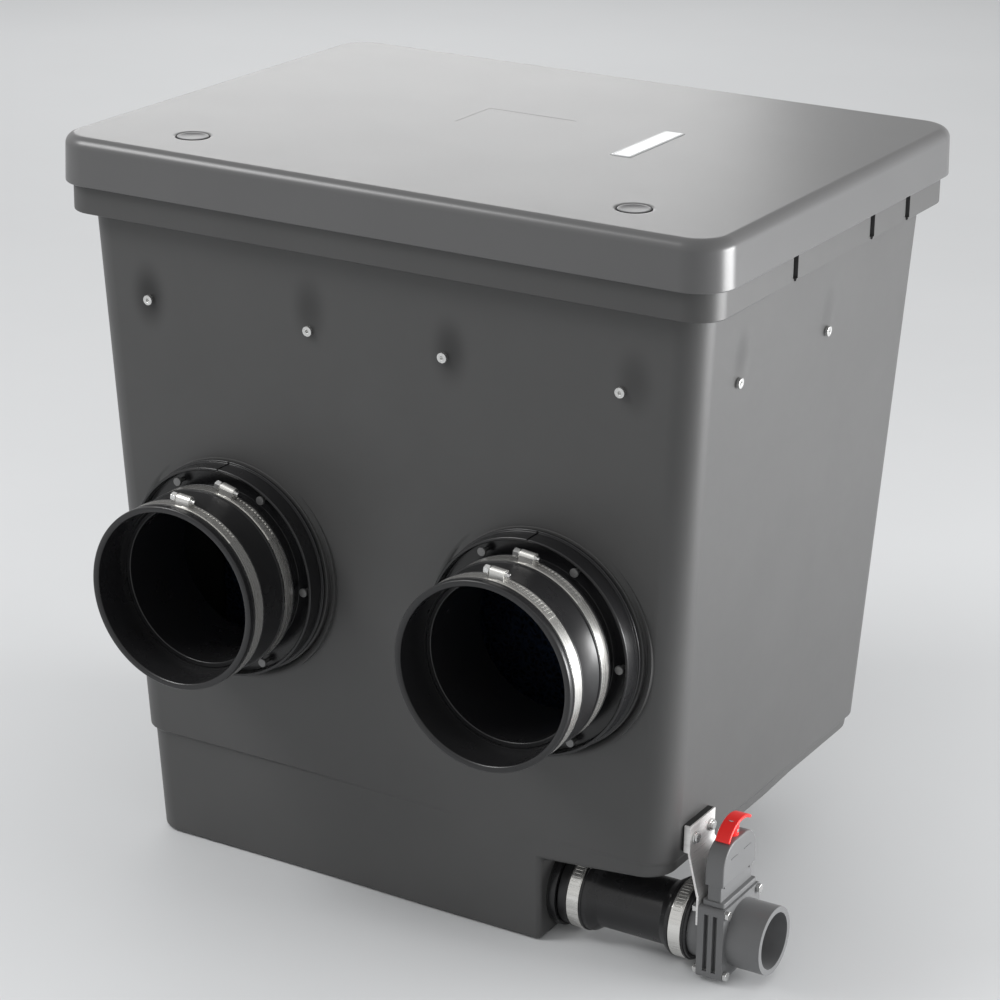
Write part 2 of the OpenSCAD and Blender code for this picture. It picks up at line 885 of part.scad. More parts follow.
module rear_clamp_left() {
  at_port(left, front) translate([0, 0, rear_band_at]) clamp_band(sleeve_out_r, rear_worm_angle_left, -1);
}

module rear_clamp_right() {
  at_port(right, front) translate([0, 0, rear_band_at]) clamp_band(sleeve_out_r, rear_worm_angle_right, -1);
}

module front_worm_left() {
  at_port(left, front) translate([0, 0, front_band_at]) worm(sleeve_out_r, front_worm_angle, -1);
}

module front_worm_right() {
  at_port(right, front) translate([0, 0, front_band_at]) worm(sleeve_out_r, front_worm_angle, -1);
}

module rear_worm_left() {
  at_port(left, front) translate([0, 0, rear_band_at]) worm(sleeve_out_r, rear_worm_angle_left, -1);
}

module rear_worm_right() {
  at_port(right, front) translate([0, 0, rear_band_at]) worm(sleeve_out_r, rear_worm_angle_right, -1);
}

module drain_collar() {
  color([0.08, 0.08, 0.09])
    at_drain(drain_seat_x)
      difference() {
        union() {
          cylinder(r = drain_collar_r, h = drain_collar_t);
          cylinder(r = drain_r, h = drain_spigot_l);
          translate([0, 0, -drain_gasket_t - wall_t - drain_nut_t])
            cylinder(r = drain_tail_r, h = drain_gasket_t + wall_t + drain_nut_t + 1);
        }
        translate([0, 0, -reach / 2]) cylinder(r = drain_tail_bore_r, h = reach);
      }
}

module drain_gasket() {
  color([0.05, 0.05, 0.05])
    at_drain(sump_end_x) tube(drain_collar_r - 1, drain_tail_r + hole_gap, drain_gasket_t);
}

module drain_locknut() {
  color([0.12, 0.12, 0.13])
    at_drain(sump_end_x - wall_t - drain_nut_t) tube(drain_nut_r, drain_tail_r + hole_gap, drain_nut_t);
}

// Solid of revolution of the drain sleeve: two cuffs, a narrow waist and a cone at each end of it
module waisted(cuff_r, waist_r) {
  waist_end = drain_sleeve_l - drain_cuffs[1] - drain_cone;
  cylinder(r = cuff_r, h = drain_cuffs[0]);
  translate([0, 0, drain_cuffs[0]]) cylinder(r1 = cuff_r, r2 = waist_r, h = drain_cone);
  cylinder(r = waist_r, h = drain_sleeve_l);
  translate([0, 0, waist_end]) cylinder(r1 = waist_r, r2 = cuff_r, h = drain_cone);
  translate([0, 0, drain_sleeve_l - drain_cuffs[1]]) cylinder(r = cuff_r, h = drain_cuffs[1]);
}

// Rubber sleeve between collar and valve, with a bead on each side of both clamp bands
module drain_sleeve() {
  color([0.07, 0.07, 0.08])
    at_drain(drain_sleeve_x)
      difference() {
        union() {
          waisted(drain_sleeve_out_r, drain_sleeve_out_r - drain_waist_drop);
          for (at = drain_band_at, side = [-1, 1]) {
            translate([0, 0, at - drain_sleeve_x + side * (band_w + bead_w + 1) / 2 - bead_w / 2])
              cylinder(r = drain_sleeve_out_r + bead_h, h = bead_w);
          }
        }
        waisted(drain_sleeve_in_r, drain_sleeve_in_r - drain_waist_drop);
        translate([0, 0, -1]) cylinder(r = drain_sleeve_in_r, h = 2);
        translate([0, 0, drain_sleeve_l - 1]) cylinder(r = drain_sleeve_in_r, h = 2);
      }
}

module drain_clamp_inner() {
  at_drain(drain_band_at[0]) clamp_band(drain_sleeve_out_r, drain_worm_angle, 1);
}

module drain_clamp_outer() {
  at_drain(drain_band_at[1]) clamp_band(drain_sleeve_out_r, drain_worm_angle, 1);
}

module drain_worm_inner() {
  at_drain(drain_band_at[0]) worm(drain_sleeve_out_r, drain_worm_angle, 1);
}

module drain_worm_outer() {
  at_drain(drain_band_at[1]) worm(drain_sleeve_out_r, drain_worm_angle, 1);
}

// Places a child at each corner bolt of the valve, with its local +Z along +X
module at_valve_bolts(x) {
  for (y = [-1, 1], z = [-1, 1]) {
    translate([x, y * bolt_y - drain_y, z * bolt_z + drain_z]) rotate([0, 90, 0]) children();
  }
}

// Space between the halves for the gate blade, open at the top
module gate_space(w, t, h) {
  translate([valve_mid - t / 2, -drain_y, drain_z])
    rotate([0, 90, 0]) cylinder(r = w / 2, h = t);
  translate([valve_mid - t / 2, -drain_y - w / 2, drain_z]) cube([t, w, h]);
}

// Half of the valve body with its pipe piece
module valve_half(x0, pipe_x0, pipe_x1, slot_x) {
  half_t = valve_t / 2;
  color([0.48, 0.49, 0.50])
    difference() {
      union() {
        translate([x0 + half_t / 2, -drain_y, drain_z])
          rotate([90, 0, 90]) translate([0, 0, -half_t / 2]) slab(valve_w, valve_h, valve_corner_r, half_t);
        at_drain(pipe_x0) cylinder(r = drain_r, h = pipe_x1 - pipe_x0);
      }
      at_drain(pipe_x0 - 1) cylinder(r = valve_bore_r, h = pipe_x1 - pipe_x0 + 2);
      gate_space(cavity_w, cavity_t, valve_h);
      at_drain(valve_mid - cavity_t / 2 - seal_t)
        cylinder(r = seal_out_r + slip / 2, h = cavity_t + 2 * seal_t);
      at_valve_bolts(x0 - 1) cylinder(r = bolt_r + hole_gap, h = half_t + 2);
      for (side = [-1, 1]) {
        translate([slot_x, side * valve_w / 2 - drain_y, drain_z])
          cube([side_slot[0], 2 * side_slot[1], side_slot[2]], center = true);
      }
    }
}

module valve_inlet_half() {
  difference() {
    valve_half(valve_x0, valve_x0 - valve_spigot_l, valve_mid, valve_mid - side_slot_off);
    color([0.48, 0.49, 0.50])
      at_drain(valve_x0 - valve_spigot_l - 1) cylinder(r = drain_bore_r, h = valve_spigot_l + 1);
  }
}

module valve_outlet_half() {
  difference() {
    valve_half(valve_mid, valve_mid, stub_end, valve_mid + side_slot_off);
    color([0.48, 0.49, 0.50]) at_drain(valve_x1) cylinder(r = drain_bore_r, h = stub_l + 1);
  }
}

module valve_seals() {
  color([0.05, 0.05, 0.05]) {
    at_drain(valve_mid - cavity_t / 2 - seal_t) tube(seal_out_r, seal_in_r, seal_t);
    at_drain(valve_mid + cavity_t / 2) tube(seal_out_r, seal_in_r, seal_t);
  }
}

// Outline of the bonnet across the pipe: straight sides and a rounded top
module bonnet_outline(w, h, r) {
  translate([-w / 2, 0]) square([w, h - r]);
  translate([-w / 2 + r, 0]) square([w - 2 * r, h]);
  for (side = [-1, 1]) {
    translate([side * (w / 2 - r), h - r]) circle(r = r);
  }
}

// Bonnet plate standing on the valve body, of a thickness along the pipe
module bonnet_plate(z, w, t, h, r) {
  translate([valve_mid - t / 2, -drain_y, z])
    rotate([90, 0, 90]) linear_extrude(height = t) bonnet_outline(w, h, r);
}

module bonnet() {
  color([0.50, 0.51, 0.52])
    difference() {
      union() {
        translate([valve_mid, -drain_y, valve_top])
          slab(valve_t - 2 * bonnet_base_set, valve_w - 4 * bonnet_base_set, bonnet_base_set, bonnet_base_h);
        bonnet_plate(valve_top, bonnet_neck_w, bonnet_neck_t, bonnet_h - bonnet_roof / 2, bonnet_top_r);
        bonnet_plate(valve_top + bonnet_cap_z, bonnet_w, bonnet_t, bonnet_h - bonnet_cap_z, bonnet_top_r);
      }
      translate([valve_mid - cavity_t / 2, -drain_y, valve_top - 1])
        rotate([90, 0, 90])
          linear_extrude(height = cavity_t) bonnet_outline(cavity_w, bonnet_h - bonnet_roof + 1, cavity_top_r);
      translate([valve_mid, -drain_y, valve_top]) cylinder(r = stem_r + run_gap, h = bonnet_h + 1);
    }
}

module gate_blade() {
  color([0.75, 0.75, 0.76])
    difference() {
      union() {
        at_drain(valve_mid - blade_t / 2) cylinder(r = blade_w / 2, h = blade_t);
        bonnet_plate(drain_z, blade_w, blade_t, valve_h / 2, blade_top_r);
      }
      translate([valve_mid, -drain_y, valve_top - tang_l]) cylinder(r = tang_r, h = tang_l + 1);
    }
}

module gate_stem() {
  color("silver")
    difference() {
      translate([valve_mid, -drain_y, valve_top]) {
        cylinder(r = stem_r, h = bonnet_h + hub_gap + hub_h);
        translate([0, 0, -tang_l]) cylinder(r = tang_r - slip / 2, h = tang_l + 1);
      }
      at_handle_pin() cylinder(r = pin_r + slip / 2, h = 4 * hub_r, center = true);
    }
}

// Places a child on the cross pin of the handle, with its local +Z along +X
module at_handle_pin() {
  translate([valve_mid, -drain_y, bonnet_top + pin_rise]) rotate([0, 90, 0]) children();
}

module handle() {
  color([0.85, 0.13, 0.13])
    difference() {
      union() {
        translate([valve_mid, -drain_y, bonnet_top + hub_gap]) cylinder(r = hub_r, h = hub_h);
        translate([valve_mid, -drain_y, handle_top])
          rotate([handle_tilt, 0, 0])
            translate([0, 0, -handle_arc_r])
              rotate([0, 90, 0])
                rotate([0, 0, 180 - handle_half_angle])
                  rotate_extrude(angle = 2 * handle_half_angle)
                    translate([handle_arc_r - handle_t, -handle_w / 2]) square([handle_t, handle_w]);
      }
      translate([valve_mid, -drain_y, bonnet_top]) cylinder(r = stem_r + slip / 2, h = hub_gap + hub_h);
      at_handle_pin() cylinder(r = pin_r + slip / 2, h = 4 * hub_r, center = true);
    }
}

module handle_pin() {
  color("silver") at_handle_pin() cylinder(r = pin_r, h = 2 * hub_r, center = true);
}

// Left end of a bolt's grip: the upper bolts also hold the bracket
function grip_x(z) = z > 0 ? tab_x : valve_x0;

module valve_bolts() {
  color("gainsboro")
    for (y = [-1, 1], z = [-1, 1]) {
      start = grip_x(z) - nut_h - 1;
      translate([0, y * bolt_y - drain_y, z * bolt_z + drain_z])
        rotate([0, 90, 0]) {
          translate([0, 0, start]) cylinder(r = bolt_r, h = valve_x1 - start);
          translate([0, 0, valve_x1]) cylinder(r = bolt_head_r, h = bolt_head_h, $fn = 6);
        }
    }
}

module valve_nuts() {
  color("gainsboro")
    for (y = [-1, 1], z = [-1, 1]) {
      translate([grip_x(z) - nut_h, y * bolt_y - drain_y, z * bolt_z + drain_z])
        rotate([0, 90, 0])
          difference() {
            cylinder(r = bolt_head_r, h = nut_h, $fn = 6);
            translate([0, 0, -1]) cylinder(r = bolt_r + slip / 2, h = nut_h + 2);
          }
    }
}

// Places a child at the two bolts of the wall plate, with its local +Z along +X
module at_bracket_bolts(x) {
  for (y = [-1, 1]) {
    translate([x, y * bracket_bolt_y - drain_y, bracket_bolt_z]) rotate([0, 90, 0]) children();
  }
}

module bracket() {
  color("gainsboro")
    difference() {
      union() {
        bent_sheet();
        translate([plate_x - plate_return, -drain_y - plate_w / 2, plate_z])
          cube([plate_return + sheet_t, sheet_t, plate_h]);
      }
      at_drain(0) cylinder(r = drain_r + 1, h = reach);
      at_valve_bolts(tab_x - 1) cylinder(r = bolt_r + hole_gap, h = sheet_t + 2);
      at_bracket_bolts(plate_x - 1) cylinder(r = bracket_bolt_r + hole_gap, h = sheet_t + 2);
    }
}

// Sheet bent twice: plate on the wall, slope outwards and tab behind the valve
module bent_sheet() {
  intersection() {
    translate([0, -drain_y, 0])
      rotate([90, 0, 0])
        translate([0, 0, -valve_w / 2])
          linear_extrude(height = valve_w)
            polygon([
              [plate_x, plate_top],
              [plate_x + sheet_t, plate_top],
              [plate_x + sheet_t, plate_z],
              [valve_x0, tab_top],
              [valve_x0, tab_bottom],
              [tab_x, tab_bottom],
              [tab_x, tab_top - sheet_t / 2],
              [plate_x, plate_z - sheet_t / 2]
            ]);
    translate([0, -drain_y, 0])
      rotate([90, 0, 90])
        linear_extrude(height = reach)
          polygon([
            [-plate_w / 2, plate_top],
            [plate_w / 2, plate_top],
            [plate_w / 2, plate_z],
            [valve_w / 2, tab_top],
            [valve_w / 2, tab_bottom],
            [-valve_w / 2, tab_bottom],
            [-valve_w / 2, tab_top],
            [-plate_w / 2, plate_z]
          ]);
  }
}

module bracket_pad() {
  color([0.05, 0.05, 0.05])
    difference() {
      translate([plate_x - pad_reach, -drain_y - plate_w / 2 + sheet_t, plate_z])
        cube([pad_reach, plate_w - sheet_t, plate_h]);
      wall_block(skirt_h, tank_h, -seat_gap);
      at_bracket_bolts(plate_x - pad_reach - 1) cylinder(r = bracket_bolt_r + hole_gap, h = pad_reach + 2);
    }
}

module bracket_screws() {
  end_x = half_w(plate_z) - 3 * wall_t;
  head_x = plate_x + sheet_t;
  color("gainsboro") {
    at_bracket_bolts(head_x) {
      cylinder(r = dome_r, h = dome_h / 2);
      translate([0, 0, dome_h / 2]) cylinder(r = dome_r - 1.5, h = dome_h / 2);
    }
    at_bracket_bolts(end_x) cylinder(r = bracket_bolt_r, h = head_x - end_x + 1);
  }
}

// Slotted plate: rows of long slots across the width
module slotted_plate(w, d, r, t, cols, rows) {
  cell_x = (w - 2 * plate_margin) / cols;
  cell_y = (d - 2 * plate_margin) / rows;
  difference() {
    slab(w, d, r, t);
    for (i = [0 : cols - 1], j = [0 : rows - 1]) {
      translate([(i + 0.5 - cols / 2) * cell_x, (j + 0.5 - rows / 2) * cell_y, t / 2])
        cube([cell_x - plate_web, cell_y - plate_web, t + 2], center = true);
    }
  }
}

module media_floor() {
  color([0.30, 0.31, 0.33])
    translate([0, 0, floor_low])
      slotted_plate(floor_w, floor_d, corner_r - floor_corner_drop, media_floor_t, floor_cols, floor_rows);
}

// Round legs under the media floor, in the sump and on the raised floor
module media_legs() {
  sump_leg_x = [-floor_w / 2 + leg_inset_x, middle_leg_x, sump_end_x - wall_t - 2 * leg_inset_x];
  raised_leg_x = floor_w / 2 - leg_inset_x;
  leg_y = floor_d / 2 - leg_inset_y;
  raised_leg_z = raised_z(raised_leg_x + leg_r) + wall_t + seat_gap;
  color([0.30, 0.31, 0.33])
    for (y = [-leg_y, leg_y]) {
      for (x = sump_leg_x) {
        translate([x, y, wall_t]) cylinder(r = leg_r, h = floor_low - wall_t);
      }
      translate([raised_leg_x, y, raised_leg_z]) cylinder(r = leg_r, h = floor_low - raised_leg_z);
    }
}

// Foam slab standing across the flow
module foam_slab(row, tint) {
  color(tint)
    translate([0, row * foam_step, media_floor_z]) slab(foam_w, foam_t, foam_corner_r, foam_h);
}

module foam_coarse() {
  foam_slab(-1, [0.18, 0.27, 0.42]);
}

module foam_medium() {
  foam_slab(0, [0.20, 0.36, 0.30]);
}

module foam_fine() {
  foam_slab(1, [0.62, 0.55, 0.30]);
}

module hold_down_grid() {
  w = 2 * (half_w(leg_low) - wall_t - rail_ledge + grid_seat);
  d = 3 * foam_step + plate_web;
  color([0.30, 0.31, 0.33])
    translate([0, 0, ledge_top]) slotted_plate(w, d, foam_corner_r, grid_t, grid_cols, grid_rows);
}

tank();
lid();
lid_plug_left();
lid_plug_right();
nameplate();
rail_front();
rail_rear();
rail_left();
rail_right();
rail_screws();
inlet_flange_left();
inlet_flange_right();
outlet_flange_left();
outlet_flange_right();
inlet_gasket_left();
inlet_gasket_right();
outlet_gaskets();
inlet_ring_left();
inlet_ring_right();
outlet_rings();
inlet_screws();
outlet_screws();
inlet_sleeve_left();
inlet_sleeve_right();
front_clamp_left();
front_clamp_right();
rear_clamp_left();
rear_clamp_right();
front_worm_left();
front_worm_right();
rear_worm_left();
rear_worm_right();
drain_collar();
drain_gasket();
drain_locknut();
drain_sleeve();
drain_clamp_inner();
drain_clamp_outer();
drain_worm_inner();
drain_worm_outer();
valve_inlet_half();
valve_outlet_half();
valve_seals();
bonnet();
gate_blade();
gate_stem();
handle();
handle_pin();
valve_bolts();
valve_nuts();
bracket();
bracket_pad();
bracket_screws();
media_floor();
media_legs();
foam_coarse();
foam_medium();
foam_fine();
hold_down_grid();
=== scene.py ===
"""Looks of a gravity-fed pond filter tank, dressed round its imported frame.

Lengths are in metres in the frame of the part: +Z up, inlets towards -Y, drain towards +X.
"""

from __future__ import annotations

import json
import logging
import math
from dataclasses import dataclass, field
from enum import Enum
from typing import Any, Callable, Iterable, Sequence

import bmesh
import bpy
from mathutils import Matrix, Vector, noise

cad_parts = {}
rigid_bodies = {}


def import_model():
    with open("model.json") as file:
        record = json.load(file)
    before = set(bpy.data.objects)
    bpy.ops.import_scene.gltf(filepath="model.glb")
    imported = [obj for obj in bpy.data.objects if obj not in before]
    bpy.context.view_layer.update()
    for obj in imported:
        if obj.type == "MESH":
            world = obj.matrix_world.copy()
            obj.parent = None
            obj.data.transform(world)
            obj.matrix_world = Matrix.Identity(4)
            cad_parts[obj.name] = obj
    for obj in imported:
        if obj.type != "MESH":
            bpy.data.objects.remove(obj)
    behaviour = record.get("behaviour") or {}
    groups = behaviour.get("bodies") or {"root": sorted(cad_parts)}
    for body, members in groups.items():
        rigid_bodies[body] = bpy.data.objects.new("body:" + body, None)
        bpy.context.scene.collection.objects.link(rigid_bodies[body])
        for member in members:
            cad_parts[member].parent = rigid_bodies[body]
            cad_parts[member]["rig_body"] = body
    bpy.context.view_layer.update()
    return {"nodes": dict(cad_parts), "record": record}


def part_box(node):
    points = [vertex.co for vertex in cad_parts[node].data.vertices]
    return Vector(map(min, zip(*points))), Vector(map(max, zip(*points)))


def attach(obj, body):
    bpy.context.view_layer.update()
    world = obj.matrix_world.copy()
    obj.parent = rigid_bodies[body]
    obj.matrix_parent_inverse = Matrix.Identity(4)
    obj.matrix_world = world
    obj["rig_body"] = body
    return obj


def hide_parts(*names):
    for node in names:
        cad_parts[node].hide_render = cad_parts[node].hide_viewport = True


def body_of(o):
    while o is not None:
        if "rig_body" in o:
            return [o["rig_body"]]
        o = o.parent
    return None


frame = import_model()

LOG = logging.getLogger("pond_filter")
TANK_BODY = "tank"
SHARP_ANGLE = math.radians(32)
RIDGE_ANGLE = math.radians(8)
FLAT_ANGLE = math.radians(0.4)
WELD = 2e-6
SAME_PLACE = 1e-6
LEAST_FOLD = 1e-7
NEAR = 0.001
OVERCUT = 0.01
CHAMFER = 0.3
SOFTER = (1.0, 0.6, 0.35, 0.0)
BEAD_ROUNDING = (0.0002, 0.0005, 0.0005, 0.0002)
ACROSS = Matrix(((0, 0, 1, 0), (1, 0, 0, 0), (0, 1, 0, 0), (0, 0, 0, 1)))

Colour = tuple[float, float, float]
Point = tuple[float, float]
Corner = tuple[float, float, float]
Ring = list[Vector]
Socket = bpy.types.NodeSocket
Tree = bpy.types.NodeTree
Node = bpy.types.Node
Material = bpy.types.Material
Mesh = bpy.types.Mesh
Piece = bpy.types.Object
Faces = bmesh.types.BMesh
Edge = bmesh.types.BMEdge
Vert = bmesh.types.BMVert


class Effect(str, Enum):
    """Surface effects that several finishes share."""

    CLOUD = "clouded_colour"
    GRAIN = "moulded_grain"
    BRUSH = "brushed_lines"
    DUST = "settled_dust"
    CELLS = "foam_cells"


class Cut(str, Enum):
    """Ways to join one solid with another."""

    TAKE_AWAY = "DIFFERENCE"
    ADD = "UNION"


class Wall(int, Enum):
    """The two walls with pipe ports, by the direction they face along Y."""

    FRONT = -1
    REAR = 1


def opaque(colour: Iterable[float]) -> tuple[float, ...]:
    """Gives a colour its alpha."""
    return (*colour, 1.0)


class Wiring:
    """Places and joins nodes in one shader tree."""

    def __init__(self, tree: Tree) -> None:
        """Keeps the tree to work in."""
        self.tree = tree

    def add(self, kind: str, sockets: dict[str, Any] | None = None, **settings: Any) -> Node:
        """Adds a node.

        Args:
            kind: The node's type name, without its usual start.
            sockets: Input names with constant values or with output sockets to join.
            settings: Properties of the node itself.

        Returns:
            The new node.
        """
        node = self.tree.nodes.new(kind if kind.startswith("NodeGroup") else f"ShaderNode{kind}")
        for key, value in settings.items():
            setattr(node, key, value)
        self.feed(node, sockets or {})
        return node

    def join(self, socket: Socket, value: Any) -> None:
        """Sets an input to a constant, or joins it to the output that feeds it.

        Args:
            socket: The input.
            value: The constant or the output.
        """
        if isinstance(value, Socket):
            self.tree.links.new(value, socket)
        else:
            socket.default_value = value

    def feed(self, node: Node, values: dict[str, Any]) -> None:
        """Sets or joins inputs of a node.

        Args:
            node: The node.
            values: Input names or identifiers with constants or output sockets.
        """
        for key, value in values.items():
            found = (s for s in node.inputs if key in (s.name, s.identifier) and s.enabled)
            self.join(next(found), value)

    def here(self) -> Socket:
        """Gives the shaded point in the piece's own coordinates."""
        return self.add("TexCoord").outputs["Object"]

    def blend(self, factor: Any, low: Any, high: Any) -> Socket:
        """Mixes two colours.

        Args:
            factor: The share of the second colour.
            low: The first colour.
            high: The second colour.

        Returns:
            The mixed colour.
        """
        sockets = {"Factor_Float": factor, "A_Color": low, "B_Color": high}
        node = self.add("Mix", sockets, data_type="RGBA")
        return next(s for s in node.outputs if s.identifier == "Result_Color")

    def spread(self, value: Any, source: Sequence[Any], target: Sequence[Any], **settings: Any) -> Socket:
        """Maps a value from one span to another, kept inside it.

        Args:
            value: The value to map.
            source: The span it comes from.
            target: The span it goes to.
            settings: Properties of the node itself.

        Returns:
            The mapped value.
        """
        names = ("Value", "From Min", "From Max", "To Min", "To Max")
        sockets = dict(zip(names, (value, *source, *target)))
        return self.add("MapRange", sockets, **settings).outputs["Result"]

    def combine(self, kind: str, operation: str, *values: Any, result: str = "Value") -> Socket:
        """Joins values by a sum, a product or the like.

        Args:
            kind: Math for numbers, VectorMath for vectors.
            operation: What to do.
            values: The values, in order.
            result: The name of the outcome's socket.

        Returns:
            The outcome.
        """
        node = self.add(kind, operation=operation)
        for socket, value in zip(node.inputs, values):
            self.join(socket, value)
        return node.outputs[result]

    def noise(self, place: Any, scale: Any, detail: float, roughness: float) -> Socket:
        """Gives drifting values from 0 to 1 over a place."""
        sockets = {"Vector": place, "Scale": scale, "Detail": detail, "Roughness": roughness}
        return self.add("TexNoise", sockets).outputs["Fac"]

    def bump(self, height: Any, distance: float, strength: float = 1.0, **settings: Any) -> Node:
        """Tilts the shading by a height."""
        sockets = {"Strength": strength, "Distance": distance, "Height": height}
        return self.add("Bump", sockets, **settings)


class EffectLibrary:
    """Builds each shared surface effect once, as a node group."""

    def __init__(self) -> None:
        """Starts with no group built."""
        self.groups: dict[Effect, Tree] = {}

    def place(self, wiring: Wiring, effect: Effect, values: dict[str, Any]) -> Node:
        """Places an effect in a material.

        Args:
            wiring: The material's wiring.
            effect: Which effect.
            values: The effect's inputs in this material.

        Returns:
            The group node.
        """
        if effect not in self.groups:
            self.groups[effect] = self.build(effect)
        return wiring.add("Group", values, node_tree=self.groups[effect])

    def build(self, effect: Effect) -> Tree:
        """Makes the node group of one effect.

        Args:
            effect: Which effect.

        Returns:
            The group.
        """
        makers: dict[Effect, Callable[[Tree], None]] = {
            Effect.CLOUD: self.make_cloud,
            Effect.GRAIN: self.make_grain,
            Effect.BRUSH: self.make_brush,
            Effect.DUST: self.make_dust,
            Effect.CELLS: self.make_cells,
        }
        tree = bpy.data.node_groups.new(effect.value, "ShaderNodeTree")
        makers[effect](tree)
        return tree

    @staticmethod
    def open_group(
        tree: Tree, inputs: dict[str, str], outputs: dict[str, str]
    ) -> tuple[Wiring, Any, Node]:
        """Gives a group its sockets.

        Args:
            tree: The group.
            inputs: Input names with their kinds.
            outputs: Output names with their kinds.

        Returns:
            The wiring, the group's given values and its output node.
        """
        for in_out, sockets in (("INPUT", inputs), ("OUTPUT", outputs)):
            for name, kind in sockets.items():
                tree.interface.new_socket(name=name, in_out=in_out, socket_type=f"NodeSocket{kind}")
        wiring = Wiring(tree)
        return wiring, wiring.add("NodeGroupInput").outputs, wiring.add("NodeGroupOutput")

    def make_cloud(self, tree: Tree) -> None:
        """Wires soft patches between a colour and a second shade of it.

        Args:
            tree: The group.
        """
        inputs = {"Base": "Color", "Shade": "Color", "Scale": "Float"}
        wiring, given, out = self.open_group(tree, inputs, {"Colour": "Color"})
        cloud = wiring.noise(wiring.here(), given["Scale"], detail=5.0, roughness=0.6)
        mask = wiring.spread(cloud, (0.35, 0.68), (0.0, 1.0))
        wiring.feed(out, {"Colour": wiring.blend(mask, given["Base"], given["Shade"])})

    def make_grain(self, tree: Tree) -> None:
        """Wires a fine moulded texture with a roughness that drifts from place to place.

        Args:
            tree: The group.
        """
        inputs = dict.fromkeys(("Scale", "Drift", "Smooth", "Rough"), "Float")
        wiring, given, out = self.open_group(tree, inputs, {"Height": "Float", "Roughness": "Float"})
        place = wiring.here()
        broad = wiring.noise(place, given["Drift"], detail=4.0, roughness=0.6)
        rough = wiring.spread(broad, (0.3, 0.7), (given["Smooth"], given["Rough"]))
        fine = wiring.noise(place, given["Scale"], detail=2.0, roughness=0.5)
        wiring.feed(out, {"Height": fine, "Roughness": rough})

    def make_brush(self, tree: Tree) -> None:
        """Wires the long fine lines of rolled or brushed metal.

        Args:
            tree: The group.
        """
        inputs = {"Stretch": "Vector", "Smooth": "Float", "Rough": "Float"}
        outputs = dict.fromkeys(("Height", "Roughness"), "Float")
        wiring, given, out = self.open_group(tree, inputs, outputs)
        drawn = wiring.combine("VectorMath", "MULTIPLY", wiring.here(), given["Stretch"], result="Vector")
        lines = wiring.noise(drawn, 1.0, detail=3.0, roughness=0.65)
        rough = wiring.spread(lines, (0.3, 0.7), (given["Smooth"], given["Rough"]))
        wiring.feed(out, {"Height": lines, "Roughness": rough})

    def make_dust(self, tree: Tree) -> None:
        """Wires thin dust on what faces up, in patches.

        Args:
            tree: The group.
        """
        inputs = {"Amount": "Float", "Scale": "Float"}
        wiring, given, out = self.open_group(tree, inputs, {"Mask": "Float"})
        normal = wiring.add("NewGeometry").outputs["Normal"]
        up = wiring.add("SeparateXYZ", {"Vector": normal}).outputs["Z"]
        facing = wiring.spread(up, (0.15, 1.0), (0.0, 1.0))
        patch = wiring.noise(wiring.here(), given["Scale"], detail=6.0, roughness=0.7)
        broken = wiring.spread(patch, (0.3, 0.7), (0.35, 1.0))
        mask = wiring.combine("Math", "MULTIPLY", facing, broken)
        wiring.feed(out, {"Mask": wiring.combine("Math", "MULTIPLY", mask, given["Amount"])})

    def make_cells(self, tree: Tree) -> None:
        """Wires the open cells of filter foam: pores darkened with painted shade between pale struts.

        Args:
            tree: The group.
        """
        outputs = {"Height": "Float", "Pores": "Float"}
        wiring, given, out = self.open_group(tree, {"Scale": "Float"}, outputs)
        sockets = {"Vector": wiring.here(), "Scale": given["Scale"], "Randomness": 1.0}
        edge = wiring.add("TexVoronoi", sockets, feature="DISTANCE_TO_EDGE").outputs["Distance"]
        strut = wiring.spread(edge, (0.02, 0.35), (1.0, 0.0))
        # Mask of the painted shade in the pores.
        pores = wiring.spread(edge, (0.05, 0.3), (0.0, 1.0))
        wiring.feed(out, {"Height": strut, "Pores": pores})


EFFECTS = EffectLibrary()


def new_material(name: str) -> tuple[Material, Wiring, Node]:
    """Makes an empty material.

    Args:
        name: Its name.

    Returns:
        The material, its wiring and its main shader node.
    """
    material = bpy.data.materials.new(name)
    material.use_nodes = True
    shader = material.node_tree.nodes["Principled BSDF"]
    return material, Wiring(material.node_tree), shader


@dataclass(frozen=True)
class Moulding:
    """Moulded plastic or rubber: clouded colour, fine grain and a trace of dust."""

    name: str
    colour: Colour
    shade: Colour
    smooth: float
    rough: float
    grain: float = 900.0
    relief: float = 0.00004
    dust: float = 0.0
    coat: float = 0.0
    cloud_scale: float = 9.0
    drift_scale: float = 14.0
    dust_scale: float = 26.0
    dust_colour: Colour = (0.42, 0.41, 0.39)

    def shader(self) -> tuple[Material, Wiring, Node, Node]:
        """Builds the material with its grain.

        Returns:
            The material, its wiring, its main shader and the grain's bump.
        """
        material, wiring, shader = new_material(self.name)
        patches = {"Base": opaque(self.colour), "Shade": opaque(self.shade), "Scale": self.cloud_scale}
        colour = EFFECTS.place(wiring, Effect.CLOUD, patches).outputs["Colour"]
        texture = {"Scale": self.grain, "Drift": self.drift_scale, "Smooth": self.smooth, "Rough": self.rough}
        grain = EFFECTS.place(wiring, Effect.GRAIN, texture).outputs
        if self.dust > 0:
            dust = EFFECTS.place(wiring, Effect.DUST, {"Amount": self.dust, "Scale": self.dust_scale})
            colour = wiring.blend(dust.outputs["Mask"], colour, opaque(self.dust_colour))
        bump = wiring.bump(grain["Height"], self.relief)
        wiring.feed(
            shader,
            {
                "Base Color": colour,
                "Roughness": grain["Roughness"],
                "Coat Weight": self.coat,
                "Normal": bump.outputs["Normal"],
            },
        )
        return material, wiring, shader, bump

    def material(self) -> Material:
        """Builds the finished material."""
        return self.shader()[0]


@dataclass(frozen=True)
class SinkMark:
    """Shallow pull of the wall round a screw, a dent in the bump darkened with painted shade: its middle,
    half sizes, depth and strength of painted shade.
    """

    middle: Corner
    half: Corner
    depth: float
    painted_shade: float


